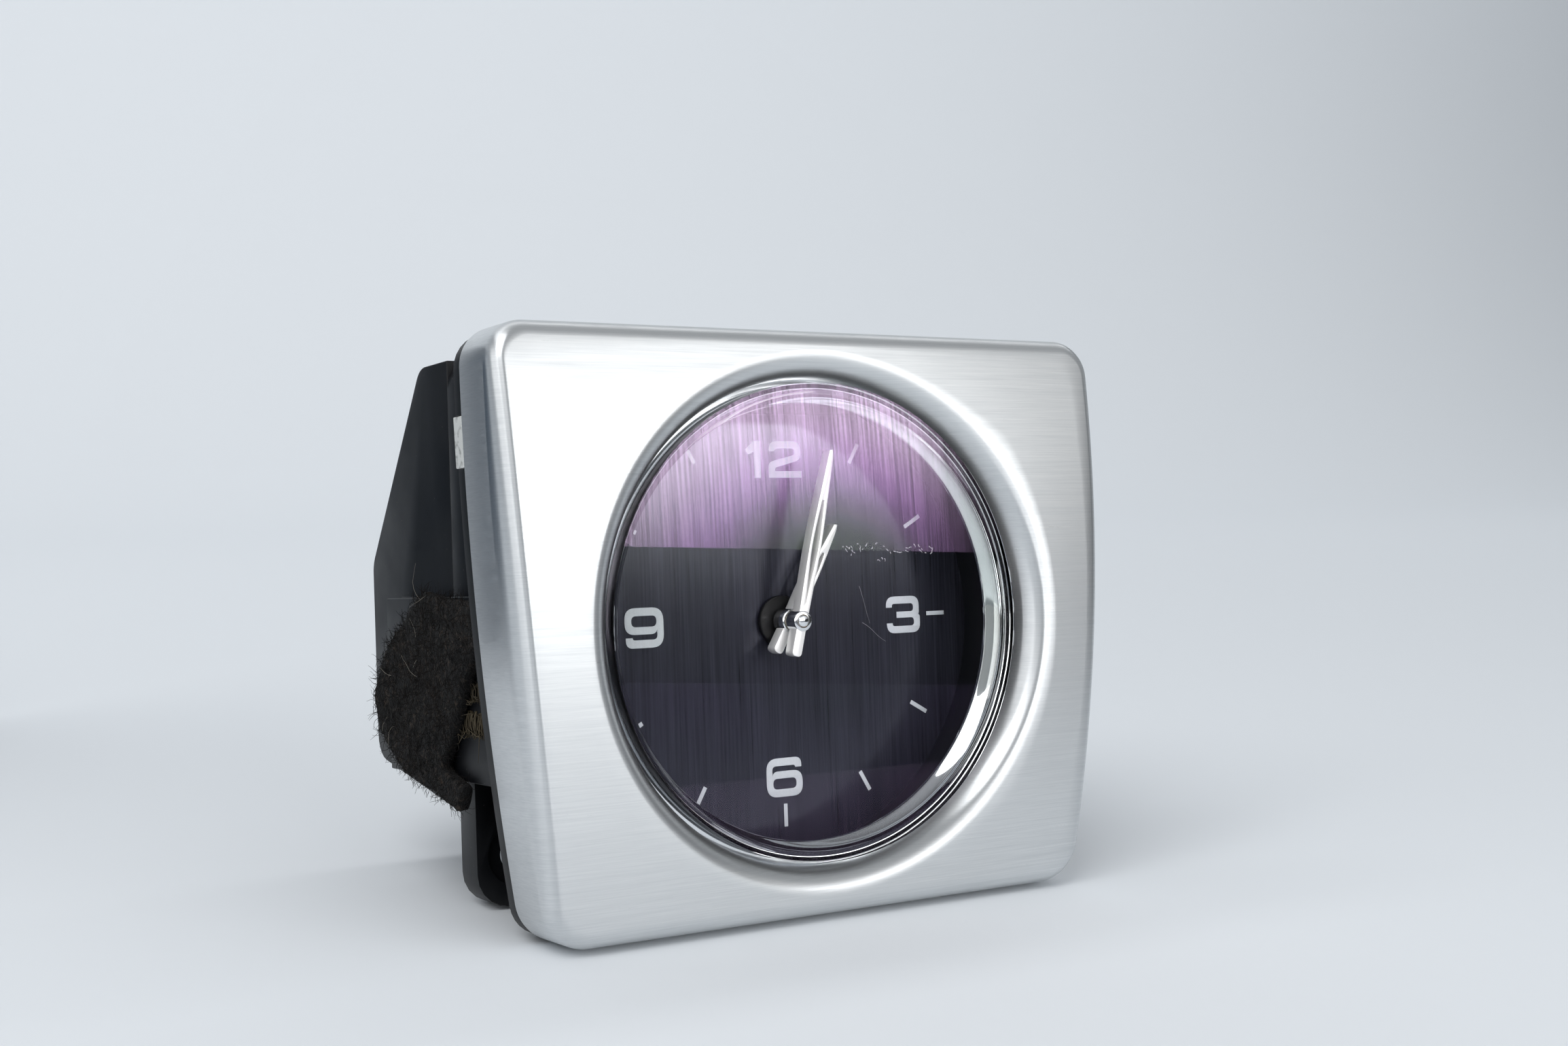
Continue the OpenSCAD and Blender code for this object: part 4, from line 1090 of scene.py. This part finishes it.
@dataclass
class ClockHand:
    """One skeleton hand with its hub and tail."""

    name: str
    body: str
    reach: float
    turn: float
    hub_r: float
    hub_front: float
    hub_t: float
    bore: float
    wide: float = 1.56
    root: float = 1.2
    tip: float = 0.6
    blade_t: float = 1.5
    tail: float = 3.9
    tail_w: float = 1.2
    rail: float = 0.32
    blade_round: float = 0.07
    pin: bool = False

    def build(self) -> None:
        """Makes the hand, rounded and polished."""
        root, belly, tip = self.root / 2, self.wide / 2, self.tip / 2
        slot_end, middle = 0.7 * self.reach, 0.45 * self.reach
        blade = [(-self.tail_w / 2, -self.tail, 0.5), (self.tail_w / 2, -self.tail, 0.5), (self.tail_w / 2, -0.5, 0.1),
                 (root, 0.6, 0.3), (belly, middle, 3.0), (tip, self.reach - 0.9, 0.3), (0.1, self.reach, 0.05),
                 (-tip, self.reach - 0.15, 0.1), (-belly, middle, 3.0), (-root, 0.6, 0.3),
                 (-self.tail_w / 2, -0.5, 0.1)]
        slit = [(0, self.hub_r + 0.7, 0.1), (belly - self.rail, middle, 2.0), (0.12, slot_end, 0.1),
                (-0.12, slot_end, 0.1), (self.rail - belly, middle, 2.0)]
        bm = flat_shape([filleted(blade, 5), filleted(slit, 5)], self.blade_t, self.blade_round)
        put = (Matrix.Translation(spot(0, self.hub_front + self.hub_t / 2, 0))
               @ Matrix.Rotation(math.pi / 2, 4, "X") @ Matrix.Rotation(-self.turn, 4, "Z"))
        bmesh.ops.transform(bm, matrix=put, verts=bm.verts)
        top, end, r = self.hub_front, self.hub_front + self.hub_t, self.hub_r
        hub = spun([(self.bore, top + 0.12), (self.bore + 0.1, top), (r - 0.2, top), (r - 0.05, top + 0.06),
                    (r, top + 0.2), (r, end), (self.bore, end)], 64)
        if self.pin:
            cap = [(0, top - 0.16), (0.5, top - 0.15), (0.62, top - 0.08), (0.64, top - 0.01), (0, top - 0.01)]
            joined(hub, spun(cap, 48, closed=False))
        place(self.name + "_blade", bm, HAND, self.body, [self.name], crease=40)
        place(self.name + "_hub", hub, HUB, self.body, crease=40)


@dataclass
class Housing:
    """Black housing, rear cover with snap arms, connector and case screws."""

    shell_round: float = 0.35
    cover_round: float = 0.4
    socket_round: float = 0.25
    screw_round: float = 0.2

    def build(self) -> None:
        """Rounds the moulded pieces and dresses the fasteners."""
        rounded("front_housing", BLACK, self.shell_round)
        rounded("rear_cover", BLACK, self.cover_round)
        rounded("connector_socket", BLACK, self.socket_round)
        rounded("case_screws", SCREW, self.screw_round)


@dataclass
class FeltPad:
    """Needled felt pad on a snap arm, with loose fibres and lint."""

    side: int
    inner: float = 33.9
    lift: float = 0.12  # of the slab off the arm
    slab_t: float = 1.5
    slab_round: float = 0.5
    corner: float = 0.7
    voxel: float = 0.4
    tuft_mm: float = 1.1
    tuft_high: float = 0.28
    lump_mm: float = 5.0
    lump_high: float = 0.3
    fuzz_count: int = 2600
    fuzz_mm: Point = (0.6, 1.9)
    fuzz_r: float = 0.03
    lint_count: int = 9
    lint_mm: Point = (2.0, 4.5)
    lint_r: float = 0.02
    bends: int = 6
    thread_count: int = 30
    thread_start: float = 13.2
    thread_run: float = 5.6
    thread_r: float = 0.07
    end_count: int = 14
    seed: int = 7
    windows: tuple[Point, ...] = ((-6.7, -5.2), (-10.3, -8.3))
    outline: tuple[Point, ...] = ((10.4, -1), (14.4, -4.4), (18.4, -10.4), (21.4, -14), (15.4, -15.6), (16.8, -18.2),
                                  (24.5, -16.6), (32.6, -15.2), (39, -11.6), (40.6, -7.2), (38.4, -2.7), (31.1, 1.8),
                                  (25.5, 4.5), (10.4, 3.2))
    hanging: tuple[Corner, ...] = ((13.4, -8.2, 0.1), (13.2, -9.4, 0.5), (13.3, -10.8, 0.55), (13.7, -12.0, 0.45),
                                   (14.3, -13.2, 0.3))  # depth, height and distance off the arm of one long thread

    def body(self) -> Shape:
        """Draws the pad as a puffed, tufted slab.

        Returns:
            The slab's shape.
        """
        bm = bmesh.new()
        flat = filleted([(d, z, self.corner) for d, z in self.outline], 3)
        face = bm.faces.new([bm.verts.new(spot(self.side * (self.inner + self.lift), d, z)) for d, z in flat])
        made = bmesh.ops.extrude_face_region(bm, geom=[face])["geom"]
        step = Vector((self.side * self.slab_t * MM, 0, 0))
        bmesh.ops.translate(bm, vec=step, verts=[v for v in made if isinstance(v, bmesh.types.BMVert)])
        bmesh.ops.recalc_face_normals(bm, faces=bm.faces)
        round_off(bm, self.slab_round, 3, 50)
        bmesh.ops.triangulate(bm, faces=bm.faces)
        block = linked("pad_block", bm)
        mesh = block.data
        remesh = block.modifiers.new("even", "REMESH")
        remesh.mode, remesh.voxel_size = "VOXEL", self.voxel * MM
        even = bpy.data.meshes.new_from_object(block.evaluated_get(bpy.context.evaluated_depsgraph_get()))
        bm = bmesh.new()
        bm.from_mesh(even)
        for junk in (block, mesh, even):
            (bpy.data.objects if isinstance(junk, bpy.types.Object) else bpy.data.meshes).remove(junk)
        bmesh.ops.smooth_vert(bm, verts=bm.verts, factor=0.5, use_axis_x=True, use_axis_y=True, use_axis_z=True)
        bm.normal_update()
        for v in bm.verts:
            out = max(0.0, v.normal.x * self.side)
            tuft = noise.fractal(v.co / (self.tuft_mm * MM), 1.0, 2.0, 4) * self.tuft_high
            lump = noise.noise(v.co / (self.lump_mm * MM)) * self.lump_high
            edge = 1 - abs(v.normal.x)
            v.co += v.normal * MM * (tuft + lump) * (0.75 * out + 0.9 * edge)
        return bm

    def fibres(self, bm: Shape, count: int, long: Point, rng: random.Random) -> list[list[Vector]]:
        """Lays loose fibres on the pad's outer side and edges.

        Args:
            bm: the pad's shape.
            count: number of fibres.
            long: shortest and longest fibre in mm.
            rng: source of chance.

        Returns:
            Points of each fibre.
        """
        bm.normal_update()
        roots = [v for v in bm.verts if v.normal.x * self.side > -0.2]
        paths = []
        for _ in range(count):
            root = rng.choice(roots)
            way = (root.normal * rng.uniform(0.2, 0.9)
                   + Vector((rng.gauss(0, 0.3), rng.gauss(0, 1), rng.gauss(0, 1)))).normalized()
            bend = Vector((-self.side * 0.25, rng.gauss(0, 0.5), rng.gauss(0, 0.5)))
            step = rng.uniform(*long) / self.bends * MM
            p = root.co - root.normal * 0.05 * MM
            path = [p.copy()]
            for _ in range(self.bends):
                p = p + way * step
                stray = Vector((rng.gauss(0, 0.15), rng.gauss(0, 0.15), rng.gauss(0, 0.15)))
                way = (way + bend * 0.35 + stray).normalized()
                p.x = self.side * max(self.side * p.x, (self.inner + 0.15) * MM)
                path.append(p.copy())
            paths.append(path)
        return paths

    def build(self) -> None:
        """Makes the pad with its fibres and lint."""
        end = "left" if self.side < 0 else "right"
        rng = random.Random(self.seed + self.side)
        bm = self.body()
        fuzz = self.fibres(bm, self.fuzz_count, self.fuzz_mm, rng)
        lint = self.fibres(bm, self.lint_count, self.lint_mm, rng)
        pad = place(f"felt_pad_{end}", bm, FELT, stands_for=[f"felt_{end}"], crease=180)
        place(f"felt_fibres_{end}", strands(fuzz, self.fuzz_r), FIBRE, crease=180)
        place(f"felt_lint_{end}", strands(lint, self.lint_r), LINT, crease=180)
        place(f"arm_threads_{end}", strands(self.threads(rng), self.thread_r), THREAD, crease=180)

    def threads(self, rng: random.Random) -> list[list[Vector]]:
        """Loops frayed threads through the two windows of the snap arm.

        Args:
            rng: source of chance.

        Returns:
            Points of each thread.
        """
        paths = []
        for low, high in self.windows:
            for i in range(self.thread_count):
                d = self.thread_start + self.thread_run * i / (self.thread_count - 1) + rng.gauss(0, 0.08)
                lift = rng.uniform(0.05, 0.35)
                ends = (high + rng.uniform(0.1, 0.5), low - rng.uniform(0.1, 0.5))
                path = []
                for k in range(6):
                    t = k / 5
                    out = self.inner + 0.06 + lift * math.sin(math.pi * t) - 0.9 * (0 < k < 5) * (i % 3 == 0)
                    path.append(spot(self.side * out, d + rng.gauss(0, 0.1), ends[0] + (ends[1] - ends[0]) * t))
                paths.append(path)
            for _ in range(self.end_count):
                d, z = rng.uniform(13.0, 19.0), rng.choice((low, high)) + rng.gauss(0, 0.15)
                paths.append([spot(self.side * (self.inner + 0.05 + 0.3 * k), d + rng.gauss(0, 0.2) * k,
                                   z + rng.gauss(0, 0.2) * k) for k in range(4)])
        paths.append([spot(self.side * (self.inner + out), d, z) for d, z, out in self.hanging])
        return paths


@dataclass
class CarriedOver:
    """Inner pieces that keep their CAD shapes."""

    finishes: dict[str, Finish]

    def build(self) -> None:
        """Dresses the CAD nodes."""
        for node, finish in self.finishes.items():
            dress_node(node, finish)


@dataclass
class Movement(CarriedOver):
    """Geared movement between its plates, with the motor's iron and coil."""

    finishes: dict[str, Finish] = field(default_factory=lambda: {
        "light_guide": GUIDE, "hour_wheel": GEAR, "motion_wheel": GEAR, "third_wheel": GEAR, "rotor": GEAR,
        "centre_wheel": BRASS, "centre_bush": BRASS, "rotor_magnet": MAGNET, "front_plate": FRAME_PLASTIC,
        "back_plate": FRAME_PLASTIC, "stator": IRON, "coil_core": IRON, "coil_bobbin": BOBBIN, "coil_winding": COIL,
        "movement_screws": CAN, "plate_screws": CAN})


@dataclass
class Electrics(CarriedOver):
    """Circuit board with its parts, lamps and connector pins."""

    finishes: dict[str, Finish] = field(default_factory=lambda: {
        "circuit_board": BOARD, "driver_chip": CHIP, "quartz_crystal": CAN, "capacitors": CAN, "dial_lamps": LAMP,
        "connector_pins": TIN, "board_screws": CAN})


# ---------------------------------------------------------------- studio


@dataclass(frozen=True)
class PaperFloor(Finish):
    """Plain matt studio paper."""

    def dress(self, on: Bench) -> None:
        """Takes the gloss off the paper."""
        on.shade({"Specular IOR Level": 0.1})


@dataclass(frozen=True)
class LampCloth(Finish):
    """Diffuser cloth of a long soft box, whose glow is written on its mesh."""

    def dress(self, on: Bench) -> None:
        """Lets the cloth shine."""
        glow = on.add_node("Attribute", attribute_name="glow").outputs["Fac"]
        on.surface(on.add_node("Emission", {"Color": linear(self.colour), "Strength": glow}).outputs[0])


@dataclass
class Studio:
    """Camera at the photograph's angle, pale floor and soft lamps."""

    eye: Place = (-113.0, -194.9, 5.5)
    ahead: Place = (0.53276, 0.84591, 0.0247)
    above: Place = (0.0172, -0.04, 0.99905)
    lens: float = 44.38
    heel: Point = (-16.0, -31.0)
    toe: Point = (1.2, -29.2)
    middle_y: float = -20.0
    window_far: float = 700.0
    window_turn: Point = (-12.0, 54.0)
    window_high: Point = (-15.0, 330.0)
    window_glow: Place = (3.3, 0.2, 1.8)  # near side, far side and top
    dim_turn: Point = (36.5, 40.0)  # where the near side's light gives way to the far side's
    dim_top: float = 0.5
    top_high: Point = (90.0, 130.0)  # where the sides' light gives way to the top's
    low_high: Point = (20.0, 80.0)
    low_share: Point = (0.75, 2.4)  # of the sides' light at those heights
    room: str = "#eef2f6"
    room_level: float = 0.42
    paper_half: float = 3.0  # in metres, as the paper's other sizes
    paper_front: float = -2.5
    paper_top: float = 3.0
    sweep_start: float = 0.55
    sweep_r: float = 0.45
    sweep_steps: int = 16
    paper: PaperFloor = PaperFloor("pale_studio_paper", "#e4e8ec", 0.85)
    black: PaperFloor = PaperFloor("black_studio_card", "#08080a", 0.9)
    grey: PaperFloor = PaperFloor("grey_studio_card", "#7d828a", 0.9)
    slate: PaperFloor = PaperFloor("slate_studio_card", "#4d5966", 0.9)
    cloth: LampCloth = LampCloth("white_diffuser_cloth", "#ffffff", 1.0)

    def camera(self) -> None:
        """Sets up the camera."""
        data = bpy.data.cameras.new("camera")
        data.lens, data.sensor_width, data.sensor_fit = self.lens, 36.0, "HORIZONTAL"
        data.clip_start, data.clip_end = 0.01, 20.0
        back = -Vector(self.ahead).normalized()
        right = Vector(self.above).cross(back).normalized()
        up = back.cross(right)
        turn = Matrix((right, up, back)).transposed().to_4x4()
        holder = bpy.data.objects.new("camera", data)
        holder.matrix_world = Matrix.Translation(Vector(self.eye) * MM) @ turn
        bpy.context.scene.collection.objects.link(holder)
        bpy.context.scene.camera = holder

    def floor(self) -> None:
        """Lays the paper under the leaning clock and sweeps it up behind."""
        slope = math.atan2(self.toe[1] - self.heel[1], self.toe[0] - self.heel[0])
        bm = bmesh.new()
        verts = [bm.verts.new((x, self.paper_front, 0)) for x in (-self.paper_half, self.paper_half)]
        edges = [bm.edges.new(verts)]
        turns = [math.pi / 2 * i / self.sweep_steps for i in range(self.sweep_steps + 1)]
        run = [(self.sweep_start + self.sweep_r * math.sin(t), self.sweep_r * (1 - math.cos(t))) for t in turns]
        for y, z in run + [(self.sweep_start + self.sweep_r, self.paper_top)]:
            made = bmesh.ops.extrude_edge_only(bm, edges=edges)["geom"]
            edges = [e for e in made if isinstance(e, bmesh.types.BMEdge)]
            for v in (v for v in made if isinstance(v, bmesh.types.BMVert)):
                v.co.y, v.co.z = y, z
        bmesh.ops.recalc_face_normals(bm, faces=bm.faces)
        put = (Matrix.Translation(Vector((0, self.heel[0], self.heel[1])) * MM) @ Matrix.Rotation(slope, 4, "X"))
        bmesh.ops.transform(bm, matrix=put, verts=bm.verts)
        floor = linked("floor", bm, self.paper)

    def lamp(self, name: str, at: Place, aim: Place, size: Point, glow: float) -> None:
        """Hangs one soft box.

        Args:
            name: name of the lamp.
            at: its place in mm.
            aim: point in mm that it faces.
            size: its width and height in mm.
            glow: brightness of its face, where 1 is white.
        """
        data = bpy.data.lights.new(name, "AREA")
        data.shape, data.size, data.size_y = "RECTANGLE", size[0] * MM, size[1] * MM
        data.energy = glow * math.pi * size[0] * size[1] * MM ** 2
        holder = bpy.data.objects.new(name, data)
        holder.location = Vector(at) * MM
        holder.rotation_euler = (Vector(aim) - Vector(at)).to_track_quat("-Z", "Y").to_euler()
        bpy.context.scene.collection.objects.link(holder)

    def around(self, turn: float, far: float, high: float) -> Vector:
        """Gives the point that lies in a direction in degrees, so far from the clock and so high."""
        a = math.radians(turn)
        return Vector((far * math.sin(a), self.middle_y - far * math.cos(a), high)) * MM

    def card_at(self, name: str, turn: float, top: float, roll: float, size: Point, paper: PaperFloor,
                far: float = 640.0) -> None:
        """Stands a card outside the picture, which shades reflections as a dim room does.

        Args:
            name: name of the card.
            turn: direction from the clock in degrees, from straight ahead to the right.
            top: height of the middle of its upper edge in mm.
            roll: slant of the upper edge in radians.
            size: width and height in mm.
            paper: its finish.
            far: distance from the clock in mm.
        """
        bm = bmesh.new()
        bmesh.ops.create_grid(bm, x_segments=1, y_segments=1, size=0.5)
        put = (Matrix.Translation(self.around(turn, far, top)) @ Matrix.Rotation(math.radians(turn), 4, "Z")
               @ Matrix.Rotation(math.pi / 2, 4, "X") @ Matrix.Rotation(roll, 4, "Z")
               @ Matrix.Translation((0, -size[1] / 2 * MM, 0))
               @ Matrix.Diagonal((size[0] * MM, size[1] * MM, 1.0, 1.0)))
        bmesh.ops.transform(bm, matrix=put, verts=bm.verts)
        card = linked(name, bm, paper)
        card.visible_camera = card.visible_shadow = False

    def glow(self, turn: float, high: float) -> float:
        """Gives the window's brightness at a place.

        Args:
            turn: direction from the clock in degrees.
            high: height in mm.

        Returns:
            Brightness, where 1 is white.
        """
        near, far, top = self.window_glow
        fall, lift = part_way(turn, self.dim_turn), part_way(high, self.top_high)
        side = near + (far - near) * fall * fall * (3 - 2 * fall)
        least, most = self.low_share
        low = side * (least + (most - least) * part_way(high, self.low_high))
        return low + (top * (1 - self.dim_top * fall) - low) * lift * lift * (3 - 2 * lift)

    def window(self) -> None:
        """Hangs a long curved soft box over the card, dimmer to the right and to the top."""
        bm = bmesh.new()
        bmesh.ops.create_grid(bm, x_segments=64, y_segments=23, size=0.5)
        layer = bm.verts.layers.float.new("glow")
        for v in bm.verts:
            turn, high = (a + (b - a) * (t + 0.5)
                          for (a, b), t in ((self.window_turn, v.co.x), (self.window_high, v.co.y)))
            v[layer] = self.glow(turn, high)
            v.co = self.around(turn, self.window_far, high)
        cloth = linked("window", bm, self.cloth)
        cloth.visible_camera = False

    def world(self) -> None:
        """Sets the even light of the room."""
        made = bpy.data.worlds.new("room")
        made.use_nodes = True
        even = made.node_tree.nodes["Background"].inputs
        even["Color"].default_value, even["Strength"].default_value = linear(self.room), self.room_level
        bpy.context.scene.world = made

    def build(self) -> None:
        """Sets up camera, floor and light."""
        bpy.context.scene.view_settings.view_transform = "Standard"
        self.camera()
        self.floor()
        self.card_at("low_card", 24, 21.5, -0.05, (900, 63), self.black)
        self.card_at("grey_card", 24, -41.5, -0.05, (900, 110), self.grey)
        self.card_at("side_card", 58, 105, 0.0, (400, 265), self.black)
        self.card_at("left_card", 218, 90, 0.0, (110, 110), self.slate, 165)
        self.window()
        self.world()
        self.lamp("key_box", (-420, -330, 520), (0, 0, 0), (420, 420), 4.0)
        self.lamp("side_box", (-620, -120, 160), (0, 0, 0), (460, 460), 0.9)
        self.lamp("back_box", (300, 250, 900), (300, 950, 250), (2000, 300), 2.6)


def main() -> None:
    """Builds the studio and every sub-assembly in order."""
    logging.basicConfig(level=logging.INFO, format="%(message)s")
    Studio().build()
    FrontPlate().build()
    LensAndRing().build()
    DialFace().build()
    ClockHand("hour_hand", "hour", reach=12.2, turn=math.radians(31.1667), hub_r=1.35, hub_front=7.55, hub_t=1.9,
              bore=0.95).build()
    ClockHand("minute_hand", "minute", reach=19.2, turn=math.radians(14), hub_r=1.15, hub_front=5.5, hub_t=1.7,
              bore=0.6, pin=True).build()
    Housing().build()
    FeltPad(-1).build()
    FeltPad(1).build()
    Movement().build()
    Electrics().build()


if __name__ == "__main__":
    main()
